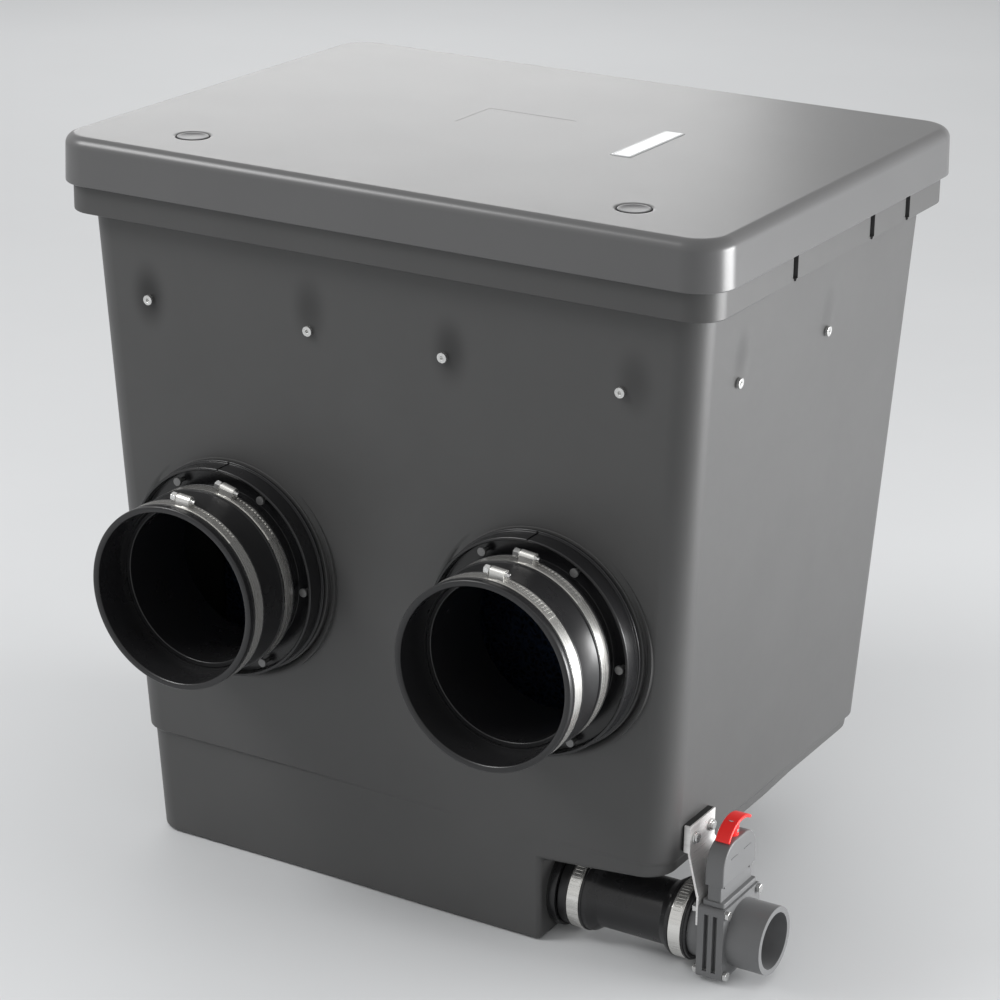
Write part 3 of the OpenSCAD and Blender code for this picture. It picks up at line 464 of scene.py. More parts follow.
@dataclass(frozen=True)
class WallMoulding(Moulding):
    """Tank plastic with sink marks where the screws pull the walls in: shallow dents in the bump, with
    painted shade darkening the colour round each screw.
    """

    marks: tuple[SinkMark, ...] = ()
    # Colour of the painted shade in the sink marks.
    dark: Colour = (0.012, 0.012, 0.012)

    def material(self) -> Material:
        """Builds the finished material.

        Returns:
            The material.
        """
        material, wiring, shader, grain = self.shader()
        place = wiring.here()
        pull: Socket | float = 0.0
        painted_shade: Socket | float = 0.0
        for mark in self.marks:
            off = wiring.combine("VectorMath", "SUBTRACT", place, mark.middle, result="Vector")
            share = wiring.combine("VectorMath", "DIVIDE", off, mark.half, result="Vector")
            reach = wiring.combine("VectorMath", "LENGTH", share)
            dish = wiring.spread(reach, (0.0, 1.0), (1.0, 0.0), interpolation_type="SMOOTHERSTEP")
            pull = wiring.combine("Math", "ADD", wiring.combine("Math", "MULTIPLY", dish, mark.depth), pull)
            # Painted shade: each mark darkens the colour towards its middle, standing in for the shading of
            # the dent.
            painted_shade = wiring.combine("Math", "ADD", wiring.combine("Math", "MULTIPLY", dish, mark.painted_shade), painted_shade)
        plain = shader.inputs["Base Color"].links[0].from_socket
        dent = wiring.bump(pull, 1.0, invert=True)
        wiring.feed(dent, {"Normal": grain.outputs["Normal"]})
        # Blends the painted shade of the sink marks into the colour.
        shade_painted = wiring.blend(painted_shade, plain, opaque(self.dark))
        wiring.feed(shader, {"Base Color": shade_painted, "Normal": dent.outputs["Normal"]})
        return material


@dataclass(frozen=True)
class Steel:
    """Rolled or brushed stainless: fine lines along one direction."""

    name: str
    colour: Colour
    stretch: Corner
    smooth: float
    rough: float
    metal: float = 1.0
    relief: float = 0.00002
    strength: float = 0.6
    dulling: float = 0.82

    def material(self) -> Material:
        """Builds the finished material.

        Returns:
            The material.
        """
        material, wiring, shader = new_material(self.name)
        lines = {"Stretch": self.stretch, "Smooth": self.smooth, "Rough": self.rough}
        brush = EFFECTS.place(wiring, Effect.BRUSH, lines).outputs
        mask = wiring.spread(brush["Height"], (0.35, 0.65), (0.0, 1.0))
        dull = opaque(self.dulling * c for c in self.colour)
        bump = wiring.bump(brush["Height"], self.relief, self.strength)
        wiring.feed(
            shader,
            {
                "Base Color": wiring.blend(mask, opaque(self.colour), dull),
                "Roughness": brush["Roughness"],
                "Metallic": self.metal,
                "Normal": bump.outputs["Normal"],
            },
        )
        return material


@dataclass(frozen=True)
class Foam:
    """Open-cell filter foam of one pore size."""

    name: str
    colour: Colour
    # Colour of the painted shade in the pores.
    pore: Colour
    cells: float
    cloud_scale: float = 12.0
    shading: float = 0.7
    pore_depth: float = 0.6
    rough: float = 0.95

    def material(self) -> Material:
        """Builds the finished material.

        Returns:
            The material.
        """
        material, wiring, shader = new_material(self.name)
        cells = EFFECTS.place(wiring, Effect.CELLS, {"Scale": self.cells}).outputs
        shade = opaque(self.shading * c for c in self.colour)
        patches = {"Base": opaque(self.colour), "Shade": shade, "Scale": self.cloud_scale}
        cloud = EFFECTS.place(wiring, Effect.CLOUD, patches).outputs["Colour"]
        bump = wiring.bump(cells["Height"], self.pore_depth / self.cells)
        wiring.feed(
            # The pores take painted shade: the colour is blended towards the pore colour.
            shader,
            {
                "Base Color": wiring.blend(cells["Pores"], cloud, opaque(self.pore)),
                "Roughness": self.rough,
                "Normal": bump.outputs["Normal"],
            },
        )
        return material


def finish_table(marks: tuple[SinkMark, ...]) -> dict[str, Moulding | Steel | Foam]:
    """Lists the finish of each material slot of the record.

    Args:
        marks: Sink marks in the tank's walls.

    Returns:
        Slot names with their finishes.
    """
    across_y = (6.0, 1600.0, 6.0)
    across_z = (30.0, 30.0, 1500.0)
    fine = (700.0, 700.0, 700.0)
    return {
        "tank_plastic": WallMoulding(
            "charcoal_wall", (0.060, 0.060, 0.060), (0.065, 0.065, 0.065), 0.41, 0.46, marks=marks
        ),
        # The lid is lighter than the walls: partly its own tone, partly painted light for the brighter light
        # it takes from above.
        "lid_plastic": Moulding(
            "charcoal_lid", (0.102, 0.102, 0.103), (0.106, 0.106, 0.107), 0.305, 0.315
        ),
        "plug_plastic": Moulding("charcoal_plug", (0.055, 0.055, 0.057), (0.064, 0.064, 0.066), 0.30, 0.38),
        "nameplate_metal": Moulding(
            "bare_plate", (0.56, 0.57, 0.58), (0.50, 0.51, 0.52), 0.22, 0.32, relief=0.00001, coat=0.3
        ),
        "rail_steel": Steel("rail_sheet", (0.60, 0.60, 0.61), across_z, 0.28, 0.42),
        "screw_steel": Steel("screw_steel", (0.70, 0.70, 0.69), fine, 0.20, 0.30, metal=0.9),
        # Darker, duller copy of the screw steel for the flanges' screws: painted shade for the shadow they
        # sit in.
        "shaded_flange_screws": Steel("shade_painted_screw", (0.20, 0.20, 0.20), fine, 0.30, 0.40, metal=0.6),
        "flange_plastic": Moulding(
            "gloss_black", (0.010, 0.010, 0.011), (0.014, 0.014, 0.015), 0.20, 0.30, relief=0.00002, dust=0.01
        ),
        "gasket_rubber": Moulding("gasket_black", (0.009, 0.009, 0.009), (0.013, 0.013, 0.013), 0.55, 0.7),
        "sleeve_rubber": Moulding(
            "sleeve_black", (0.011, 0.011, 0.012), (0.015, 0.015, 0.016), 0.24, 0.34, dust=0.01
        ),
        "band_steel": Steel("rolled_band", (0.84, 0.83, 0.80), across_y, 0.18, 0.32, metal=0.85),
        "worm_steel": Steel("worm_steel", (0.76, 0.76, 0.75), fine, 0.14, 0.24),
        "valve_pvc": Moulding(
            "grey_pvc", (0.138, 0.140, 0.143), (0.150, 0.152, 0.155), 0.34, 0.42, relief=0.00002, dust=0.02
        ),
        "blade_plastic": Moulding("pale_blade", (0.42, 0.42, 0.43), (0.36, 0.36, 0.37), 0.35, 0.5),
        "stem_steel": Steel("ground_stem", (0.68, 0.68, 0.68), across_z, 0.15, 0.25),
        "handle_plastic": Moulding(
            "red_grip", (0.98, 0.024, 0.021), (0.94, 0.021, 0.019), 0.28, 0.36, relief=0.00002
        ),
        "bracket_steel": Steel("bracket_sheet", (0.88, 0.87, 0.86), across_z, 0.26, 0.38, metal=0.55),
        "media_plastic": Moulding("media_frame", (0.045, 0.048, 0.052), (0.058, 0.061, 0.065), 0.45, 0.6),
        # The second colour of each foam is the painted shade in its pores.
        "foam_coarse": Foam("foam_blue", (0.018, 0.042, 0.095), (0.003, 0.006, 0.014), 190.0),
        "foam_medium": Foam("foam_green", (0.018, 0.065, 0.045), (0.003, 0.010, 0.007), 280.0),
        "foam_fine": Foam("foam_amber", (0.085, 0.072, 0.040), (0.016, 0.013, 0.007), 420.0),
    }


def crisp(mesh: Mesh) -> None:
    """Shades a mesh smooth with crisp edges."""
    mesh.shade_smooth()
    mesh.set_sharp_from_angle(angle=SHARP_ANGLE)


def finish_mesh(name: str, bm: Faces) -> Piece:
    """Turns built faces into a piece in the scene.

    Args:
        name: The piece's name.
        bm: The built faces, which are freed.

    Returns:
        The piece.
    """
    bmesh.ops.recalc_face_normals(bm, faces=bm.faces)
    mesh = bpy.data.meshes.new(name)
    bm.to_mesh(mesh)
    bm.free()
    crisp(mesh)
    piece = bpy.data.objects.new(name, mesh)
    bpy.context.scene.collection.objects.link(piece)
    return piece


def settle(piece: Piece) -> Mesh:
    """Applies a piece's modifiers.

    Args:
        piece: The piece.

    Returns:
        Its new mesh.
    """
    graph = bpy.context.evaluated_depsgraph_get()
    mesh = bpy.data.meshes.new_from_object(piece.evaluated_get(graph))
    piece.modifiers.clear()
    piece.data = mesh
    return mesh


def weld(piece: Piece) -> None:
    """Joins points of a piece that lie on one another.

    Args:
        piece: The piece.
    """
    bm = bmesh.new()
    bm.from_mesh(piece.data)
    bmesh.ops.remove_doubles(bm, verts=bm.verts, dist=WELD)
    bmesh.ops.recalc_face_normals(bm, faces=bm.faces)
    bm.to_mesh(piece.data)
    bm.free()


def weigh_normals(piece: Piece) -> None:
    """Keeps large flat faces flat beside their rounded edges."""
    modifier = piece.modifiers.new("weighted_normals", "WEIGHTED_NORMAL")
    modifier.keep_sharp = True


def anywhere(middle: Vector) -> bool:
    """Accepts every place."""
    return True


def bent_edges(
    bm: Faces, angle: float, keep: Callable[[Vector], bool] = anywhere
) -> list[Edge]:
    """Finds edges bent more than an angle.

    Args:
        bm: The mesh.
        angle: The least bend.
        keep: Says from an edge's middle whether it counts.

    Returns:
        The edges.
    """
    return [
        e
        for e in bm.edges
        if e.is_manifold
        and e.calc_face_angle(0.0) > angle
        and keep((e.verts[0].co + e.verts[1].co) / 2)
    ]


def round_edges(bm: Faces, edges: list[Edge], width: float, segments: int) -> None:
    """Rounds edges of a mesh.

    Args:
        bm: The mesh.
        edges: The edges.
        width: How far the rounding reaches.
        segments: Faces across it.
    """
    bmesh.ops.bevel(
        bm,
        geom=edges,
        offset=width,
        offset_type="OFFSET",
        segments=segments,
        profile=0.5,
        affect="EDGES",
        clamp_overlap=False,
        loop_slide=False,
    )


def folded(bm: Faces) -> bool:
    """Says whether any face of a mesh folds back over itself.

    Args:
        bm: The mesh.

    Returns:
        True if part of a face looks the other way.
    """
    bm.normal_update()
    for corners in bm.calc_loop_triangles():
        a, b, c = (corner.vert.co for corner in corners)
        area = (b - a).cross(c - a)
        if area.length > LEAST_FOLD and area.dot(corners[0].face.normal) < 0:
            return True
    return False


def soften(node: str, width: float) -> Piece:
    """Copies a node with its edges rounded, by less where the full rounding would fold a face.

    Args:
        node: The node.
        width: How far each rounding reaches.

    Returns:
        The copy.
    """
    bm = bmesh.new()
    for share in SOFTER:
        bm.clear()
        bm.from_mesh(frame["nodes"][node].data)
        bmesh.ops.remove_doubles(bm, verts=bm.verts, dist=WELD)
        if share == 0:
            LOG.info("%s keeps its sharp edges", node)
            break
        bmesh.ops.dissolve_limit(bm, angle_limit=FLAT_ANGLE, verts=bm.verts, edges=bm.edges)
        round_edges(bm, bent_edges(bm, SHARP_ANGLE), width * share, 2)
        if not folded(bm):
            break
    piece = finish_mesh(f"{node}_piece", bm)
    weigh_normals(piece)
    return piece


def carve(piece: Piece, tool: Piece, cut: Cut) -> None:
    """Cuts a solid out of a piece, or joins it on, and removes the tool.

    Args:
        piece: The piece to change.
        tool: The other solid.
        cut: What to do.
    """
    modifier = piece.modifiers.new(cut.value.lower(), "BOOLEAN")
    modifier.operation = cut.value
    modifier.solver = "EXACT"
    modifier.object = tool
    crisp(settle(piece))
    bpy.data.objects.remove(tool)


def turns(start: float, sweep: float, steps: int) -> list[float]:
    """Lists the angles of a sweep that is given in degrees, both ends among them."""
    return [math.radians(start + sweep * i / steps) for i in range(steps + 1)]


def turned(spot: Sequence[float], degrees: float, axis: str) -> Matrix:
    """Gives the place at a spot, turned about an axis."""
    return Matrix.Translation(spot) @ Matrix.Rotation(math.radians(degrees), 4, axis)


def level(plan: Iterable[Point], z: float, middle: Sequence[float] = (0.0, 0.0)) -> Ring:
    """Lists the points of a plan at a height, round a middle."""
    return [Vector((middle[0] + x, middle[1] + y, z)) for x, y in plan]


def rounded_plan(
    half: Sequence[float], radius: float, xs: Sequence[float] = (), ys: Sequence[float] = (), steps: int = 4
) -> list[Point]:
    """Lists the points round a plan with round corners, from the front left, seen from above anticlockwise.

    Args:
        half: Half width and half depth.
        radius: Corner radius.
        xs: Extra points along the front and rear.
        ys: Extra points along the sides.
        steps: Steps round each corner.

    Returns:
        The points.
    """
    cx, cy = half[0] - radius, half[1] - radius
    runs = (
        ([(x, -half[1]) for x in (-cx, *xs, cx)], (cx, -cy), -90.0),
        ([(half[0], y) for y in (-cy, *ys, cy)], (cx, cy), 0.0),
        ([(x, half[1]) for x in (cx, *reversed(xs), -cx)], (-cx, cy), 90.0),
        ([(-half[0], y) for y in (cy, *reversed(ys), -cy)], (-cx, -cy), 180.0),
    )
    points: list[Point] = []
    for straight, (x, y), start in runs:
        points.extend(straight)
        bend = turns(start, 90.0, steps)[1:-1]
        points.extend((x + radius * math.cos(t), y + radius * math.sin(t)) for t in bend)
    return points


def arch_plan(width: float, height: float, radius: float, inset: float, steps: int = 14) -> list[Point]:
    """Lists the points of an arch: a flat foot, straight sides and round upper corners.

    Args:
        width: The arch's width.
        height: Its height over the foot.
        radius: Its upper corners' radius.
        inset: How far the points lie inside the outline.
        steps: Steps round each corner.

    Returns:
        The points, anticlockwise.
    """
    half = width / 2 - inset
    bend = radius - inset
    points: list[Point] = [(-half, inset), (half, inset)]
    for side, start in ((1, 0.0), (-1, 90.0)):
        x, y = side * (width / 2 - radius), height - radius
        points.extend((x + bend * math.cos(t), y + bend * math.sin(t)) for t in turns(start, 90.0, steps))
    return points


def rounded_profile(corners: Sequence[Corner], steps: int = 3) -> list[Point]:
    """Rounds the corners of a closed outline.

    Args:
        corners: The two coordinates and the rounding of each corner.
        steps: Steps round each rounded corner.

    Returns:
        The outline's points.
    """
    points: list[Point] = []
    for i, (x, y, radius) in enumerate(corners):
        if radius == 0:
            points.append((x, y))
            continue
        here = Vector((x, y))
        back = (Vector(corners[i - 1][:2]) - here).normalized()
        ahead = (Vector(corners[(i + 1) % len(corners)][:2]) - here).normalized()
        half = back.angle(ahead) / 2
        centre = here + (back + ahead).normalized() * (radius / math.sin(half))
        start, end = (here + way * (radius / math.tan(half)) - centre for way in (back, ahead))
        first = math.atan2(start.y, start.x)
        sweep = math.remainder(math.atan2(end.y, end.x) - first, 2 * math.pi)
        bend = (first + sweep * step / steps for step in range(steps + 1))
        points.extend((centre.x + radius * math.cos(t), centre.y + radius * math.sin(t)) for t in bend)
    return points


def bead_corners(out: float, crest: float, width: float, middles: Iterable[float]) -> list[Corner]:
    """Lists the corners of raised beads round a sleeve.

    Args:
        out: The sleeve's radius.
        crest: The beads' radius.
        width: The beads' width.
        middles: Where the beads are along the sleeve.

    Returns:
        The two coordinates and the rounding of each corner.
    """
    corners: list[Corner] = []
    for middle in middles:
        low, high = middle - width / 2, middle + width / 2
        places = ((out, low), (crest, low), (crest, high), (out, high))
        corners += [(r, z, rounding) for (r, z), rounding in zip(places, BEAD_ROUNDING)]
    return corners


def skin(bm: Faces, low: Sequence[Vert], high: Sequence[Vert]) -> None:
    """Joins two rings of points with a band of faces.

    Args:
        bm: The mesh.
        low: The first ring.
        high: The second ring.
    """
    count = len(low)
    for j in range(count):
        k = (j + 1) % count
        bm.faces.new((low[j], low[k], high[k], high[j]))


def stack(rings: Sequence[Ring]) -> Faces:
    """Skins rings of points into a solid that its first and last ring close.

    Args:
        rings: The rings, each with the same number of points.

    Returns:
        The solid's faces.
    """
    bm = bmesh.new()
    made = [[bm.verts.new(p) for p in ring] for ring in rings]
    for low, high in zip(made, made[1:]):
        skin(bm, low, high)
    bm.faces.new(made[0])
    bm.faces.new(made[-1])
    bmesh.ops.recalc_face_normals(bm, faces=bm.faces)
    return bm


def eased(length: float, edge: float, steps: int = 3) -> list[Point]:
    """Lists how a rounded bar is set in along its length.

    Args:
        length: The bar's length, with its middle at 0.
        edge: The rounding at both ends.
        steps: Steps round each end.

    Returns:
        Places along the bar with the inset at each.
    """
    bend = turns(0.0, 90.0, steps)
    first = [(-length / 2 + edge * (1 - math.cos(t)), edge * (1 - math.sin(t))) for t in bend]
    return first + [(-place, inset) for place, inset in reversed(first)]


def plate(name: str, plan: Callable[[float], list[Point]], depth: float, edge: float) -> Piece:
    """Makes a flat plate with rounded rims, in its own X and Y.

    Args:
        name: The piece's name.
        plan: Gives the plate's outline, set in by an amount.
        depth: Its thickness along its own Z, with the middle at 0.
        edge: The rounding of its rims.

    Returns:
        The piece.
    """
    return finish_mesh(name, stack([level(plan(inset), z) for z, inset in eased(depth, edge)]))


def spin_into(bm: Faces, profile: Sequence[Point], steps: int, place: Matrix | None = None) -> None:
    """Spins a closed profile round Z into a mesh.

    Args:
        bm: The mesh.
        profile: Radius and height of each corner; a radius of 0 lies on the axis.
        steps: Faces round the axis.
        place: Where the spun solid goes.
    """
    spot = place or Matrix.Identity(4)
    rings: list[list[Vert]] = []
    for radius, height in profile:
        if radius == 0:
            rings.append([bm.verts.new(spot @ Vector((0, 0, height)))])
            continue
        round_turn = (2 * math.pi * i / steps for i in range(steps))
        points = (Vector((radius * math.cos(t), radius * math.sin(t), height)) for t in round_turn)
        rings.append([bm.verts.new(spot @ p) for p in points])
    for low, high in zip(rings, [*rings[1:], rings[0]]):
        for i in range(steps):
            k = (i + 1) % steps
            corners = [low[i % len(low)], low[k % len(low)], high[k % len(high)], high[i % len(high)]]
            corners = list(dict.fromkeys(corners))
            if len(corners) > 2:
                bm.faces.new(corners)


def spin(name: str, profile: Sequence[Point], steps: int, place: Matrix | None = None) -> Piece:
    """Makes a piece of one spun profile.

    Args:
        name: The piece's name.
        profile: Radius and height of each corner.
        steps: Faces round the axis.
        place: Where the piece goes.

    Returns:
        The piece.
    """
    bm = bmesh.new()
    spin_into(bm, profile, steps, place)
    return finish_mesh(name, bm)


def rod(name: str, radius: float, span: Point, place: Matrix, steps: int = 96) -> Piece:
    """Makes a plain round rod along its own Z and returns it."""
    low, high = span
    return spin(name, [(0.0, low), (radius, low), (radius, high), (0.0, high)], steps, place)


def box_mesh(name: str, boxes: Iterable[tuple[Sequence[float], Sequence[float]]]) -> Piece:
    """Makes one piece of separate boxes.

    Args:
        name: The piece's name.
        boxes: Lowest and highest corner of each box.

    Returns:
        The piece.
    """
    bm = bmesh.new()
    for low, high in boxes:
        size = Vector(high) - Vector(low)
        middle = (Vector(high) + Vector(low)) / 2
        bmesh.ops.create_cube(bm, size=1.0, matrix=Matrix.LocRotScale(middle, None, size))
    return finish_mesh(name, bm)


def middle_of(node: str) -> Vector:
    """Gives the middle of a node's box."""
    low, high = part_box(node)
    return (low + high) / 2


@dataclass
class Workshop:
    """Dresses pieces and keeps them on their bodies."""

    finishes: dict[str, Moulding | Steel | Foam]
    materials: dict[str, Material] = field(default_factory=dict)

    def slot_of(self, node: str) -> str:
        """Gives the record's material slot of a node."""
        return next(s["material_slot"] for s in frame["record"]["subparts"] if s["node"] == node)

    def material(self, slot: str) -> Material:
        """Gives the material of a slot, built when it is first asked for.

        Args:
            slot: The slot's name.

        Returns:
            The material.
        """
        if slot not in self.materials:
            self.materials[slot] = self.finishes[slot].material()
        return self.materials[slot]

    def dress(self, piece: Piece, slot: str) -> None:
        """Gives a piece the finish of a slot."""
        piece.data.materials.clear()
        piece.data.materials.append(self.material(slot))

    def attach(self, piece: Piece, slot: str, body: str) -> None:
        """Dresses a new piece and lets it ride on a body.

        Args:
            piece: The piece.
            slot: Its material slot.
            body: The body it rides on.
        """
        self.dress(piece, slot)
        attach(piece, body)
        LOG.info("%s rides on %s", piece.name, body)

    def stand_in(self, piece: Piece, node: str) -> None:
        """Lets a piece stand for a node, with its body and finish."""
        self.attach(piece, self.slot_of(node), body_of(frame["nodes"][node])[0])
        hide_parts(node)

    def keep(self, node: str) -> None:
        """Shows a node as it is, with its own finish."""
        self.dress(frame["nodes"][node], self.slot_of(node))
        LOG.info("%s stays as it is", node)


@dataclass
class Assembly:
    """Sub-assembly: built pieces, nodes with softened edges and nodes kept as they are."""

    shop: Workshop
    edges: dict[str, float] = field(default_factory=dict)
    kept: tuple[str, ...] = ()
    pieces: dict[str, Piece] = field(default_factory=dict, init=False)

    def build(self) -> None:
        """Softens the edges of the nodes that keep their own shape."""
        for node, width in self.edges.items():
            self.pieces[node] = soften(node, width)

    def dress(self) -> None:
        """Lets each piece stand for its node and shows the kept nodes."""
        for node, piece in self.pieces.items():
            self.shop.stand_in(piece, node)
        for node in self.kept:
            self.shop.keep(node)


@dataclass
class TankShell(Assembly):
    """Drafted tub with a set-in skirt, a deep sump, a raised floor and a turned-down rim."""

    top_half: tuple[float, float] = (0.312, 0.2275)
    base_half: tuple[float, float] = (0.2785, 0.200)
    rim_low: float = 0.621
    height: float = 0.6845
    wall: float = 0.006
    corner: float = 0.027
    skirt_top: float = 0.110
    skirt_step: float = 0.004
    skirt_inset: float = 0.004
    sump_end: float = 0.1575
    floor_rise: float = 0.084
    floor_climb: float = 0.010
    rim_out: float = 0.015
    rim_thick: float = 0.005
    rim_corner: float = 0.029
    pocket_top: float = 0.6645
    pocket_depth: float = 0.002
    slot_width: float = 0.005
    pockets: tuple[Point, ...] = ((-0.135, -0.085), (-0.058, 0.071), (0.101, 0.148))
    port_x: float = 0.160953
    port_z: float = 0.305
    seat_y: float = 0.218568
    boss_radius: float = 0.103
    bore_radius: float = 0.0784
    drain_at: tuple[float, float] = (-0.152, 0.0395)
    drain_radius: float = 0.0277
    low_edge: float = 0.005
    rim_edge: float = 0.0012
    ridge_edge: float = 0.0008
    corner_steps: int = 14
    round_steps: int = 96
    drain_steps: int = 64
    low_steps: int = 4
    rim_steps: int = 3
    ridge_steps: int = 2
    side_marks: tuple[float, ...] = (-0.12, -0.06, 0.0, 0.06, 0.12)
    column_step: float = 0.03
    column_reach: int = 7
    fade: tuple[float, float] = (-0.14, 0.08)
    fade_left: float = 0.12
    regain: tuple[float, float] = (0.20, 0.06)
    regained: float = 0.35
    floor_margin: float = 0.002
    side_margin: float = 0.003
    boss_flare: float = 0.007
    boss_depth: float = 0.011
    boss_edge: float = 0.0012
    boss_steps: int = 6
    through: float = 0.02
    slot_over: float = 0.003

    def half(self, z: float) -> tuple[float, float]:
        """Gives the half width and half depth of the walls' outside at a height."""
        x, y = (b + (t - b) * z / self.rim_low for b, t in zip(self.base_half, self.top_half))
        return x, y

    def raised(self, x: float) -> float:
        """Gives the underside of the raised floor at a place across the width."""
        beyond = max(0.0, x - self.sump_end)
        return self.floor_rise + self.floor_climb * beyond / (self.base_half[0] - self.sump_end)

    def ridge_share(self, x: float, y: float) -> float:
        """Says how much of the skirt's inset is left: the ridge fades out along the front.

        Args:
            x: Place across the width.
            y: Place along the depth.

        Returns:
            The share that is left.
        """
        if y > 0:
            return 1.0
        start, end = self.fade
        fade = min(1.0, max(0.0, (x - start) / (end - start)))
        regain = min(1.0, max(0.0, (x - self.regain[0]) / self.regain[1]))
        eased_fade = fade * fade * (3 - 2 * fade)
        return 1.0 - (1.0 - self.fade_left) * eased_fade + self.regained * regain

    def ring(self, z: float, inset: float, marks: Sequence[float], faded: bool = False) -> Ring:
        """Lists the points of the walls at a height.

        Args:
            z: The height.
            inset: How far the points lie inside the walls' outside.
            marks: Extra places along the front and rear.
            faded: Whether the inset fades along the front.

        Returns:
            The points.
        """
        half = self.half(z)
        extra = (marks, self.side_marks, self.corner_steps)
        plans = [
            rounded_plan([h - i for h in half], self.corner - i / 2, *extra)
            for i in (0.0, inset)
        ]
        points: Ring = []
        for (x0, y0), (x1, y1) in zip(*plans):
            share = self.ridge_share(x1, y1) if faded else 1.0
            points.append(Vector((x0 + (x1 - x0) * share, y0 + (y1 - y0) * share, z)))
        return points

    def rim_ring(self, z: float, inset: float, marks: Sequence[float]) -> Ring:
        """Lists the points of the upright rim at a height.

        Args:
            z: The height.
            inset: How far the points lie inside the rim's outside.
            marks: Extra places along the front and rear.

        Returns:
            The points.
        """
        half = [t + self.rim_out - inset for t in self.top_half]
        plan = rounded_plan(half, self.rim_corner - inset, marks, self.side_marks, self.corner_steps)
        return level(plan, z)

    def columns(self, end: float) -> tuple[float, ...]:
        """Lists the places along the front where the skin has points.

        Args:
            end: The sump's end, which takes the place of the nearest one.

        Returns:
            The places.
        """
        step, reach = self.column_step, self.column_reach
        places = (step * i for i in range(-reach, reach + 1))
        low, high = end - step / 2, step / 2 + SAME_PLACE
        return tuple(end if abs(p - end) < high and p > low else p for p in places)

    def floored(self, bm: Faces, low: Ring, mid: Ring, end: float) -> list[Vert]:
        """Builds the lowest walls, the sump's floor and end face, and the raised floor.

        Args:
            bm: The mesh.
            low: The ring at the sump's floor.
            mid: The ring at the raised floor.
            end: The sump's end, from the middle.

        Returns:
            The points of the upper ring.
        """
        upper = [bm.verts.new(p) for p in mid]
        count = len(mid)
        ends = [i for i, p in enumerate(mid) if abs(p.x - end) < SAME_PLACE]
        first, last = ends[0], ends[-1]
        left = [(last + i) % count for i in range((first - last) % count + 1)]
        lower = {i: bm.verts.new(low[i]) for i in left}
        for j, k in zip(left, left[1:]):
            bm.faces.new((lower[j], lower[k], upper[k], upper[j]))
        bm.faces.new([lower[i] for i in reversed(left)])
        bm.faces.new((lower[first], lower[last], upper[last], upper[first]))
        bm.faces.new([upper[i] for i in range(first, last + 1)])
        return upper

    def faces(self) -> Faces:
        """Builds the tub's faces, outside and inside, with sharp edges.

        Returns:
            The faces.
        """
        outer, inner = self.columns(self.sump_end), self.columns(self.sump_end - self.wall)
        bm = bmesh.new()
        skirt, deep = self.skirt_inset, self.skirt_inset + self.wall
        mid = self.ring(self.floor_rise, skirt, outer, True)
        for point in mid:
            point.z = self.raised(point.x)
        current = self.floored(bm, self.ring(0.0, skirt, outer, True), mid, self.sump_end)
        under_rim = self.height - self.rim_thick
        rings = [
            self.ring(self.skirt_top - self.skirt_step, skirt, outer, True),
            self.ring(self.skirt_top, 0.0, outer),
            self.ring(self.rim_low, 0.0, outer),
            self.ring(under_rim, 0.0, outer),
            self.rim_ring(under_rim, self.rim_thick, outer),
            self.rim_ring(self.rim_low, self.rim_thick, outer),
            self.rim_ring(self.rim_low, 0.0, outer),
            self.rim_ring(self.height, 0.0, outer),
            self.ring(self.height, self.wall, inner),
            self.ring(self.skirt_top, self.wall, inner),
        ]
        for ring in rings:
            following = [bm.verts.new(p) for p in ring]
            skin(bm, current, following)
            current = following
        floor = self.ring(self.floor_rise + self.wall, deep, inner)
        for point in floor:
            point.z = self.raised(point.x) + self.wall
        low = self.ring(self.wall, deep, inner)
        skin(bm, self.floored(bm, low, floor, self.sump_end - self.wall), current)
        bmesh.ops.recalc_face_normals(bm, faces=bm.faces)
        return bm

    def on_outside(self, middle: Vector) -> bool:
        """Says whether an edge lies low on the tub's outside.

        Args:
            middle: The edge's middle.

        Returns:
            True for the edges of the sump's underside, its end face and the raised floor.
        """
        if middle.z > self.floor_rise + self.floor_climb + self.floor_margin:
            return False
        outside = self.half(0.0)[1] - self.skirt_inset - self.wall / 2
        end_face = abs(middle.x - self.sump_end) < NEAR
        side = abs(middle.y) > outside or middle.x > self.base_half[0] - self.corner
        low_side = side and middle.z < self.raised(middle.x) + self.side_margin
        return middle.z < self.wall / 2 or end_face or (middle.x > self.sump_end - NEAR and low_side)

    def build(self) -> None:
        """Builds the tub with its rounded edges, ports and rim."""
        bm = self.faces()
        round_edges(bm, bent_edges(bm, SHARP_ANGLE, self.on_outside), self.low_edge, self.low_steps)
        rim = bent_edges(bm, SHARP_ANGLE, lambda m: m.z > self.rim_low - NEAR)
        round_edges(bm, rim, self.rim_edge, self.rim_steps)
        ridge_z = self.skirt_top - self.skirt_step / 2
        ridge = bent_edges(bm, RIDGE_ANGLE, lambda m: abs(m.z - ridge_z) < self.skirt_step)
        round_edges(bm, ridge, self.ridge_edge, self.ridge_steps)
        shell = finish_mesh("tank_shell", bm)
        self.open_ports(shell)
        self.cut_rim(shell)
        weigh_normals(shell)
        self.pieces["tank"] = shell
        super().build()

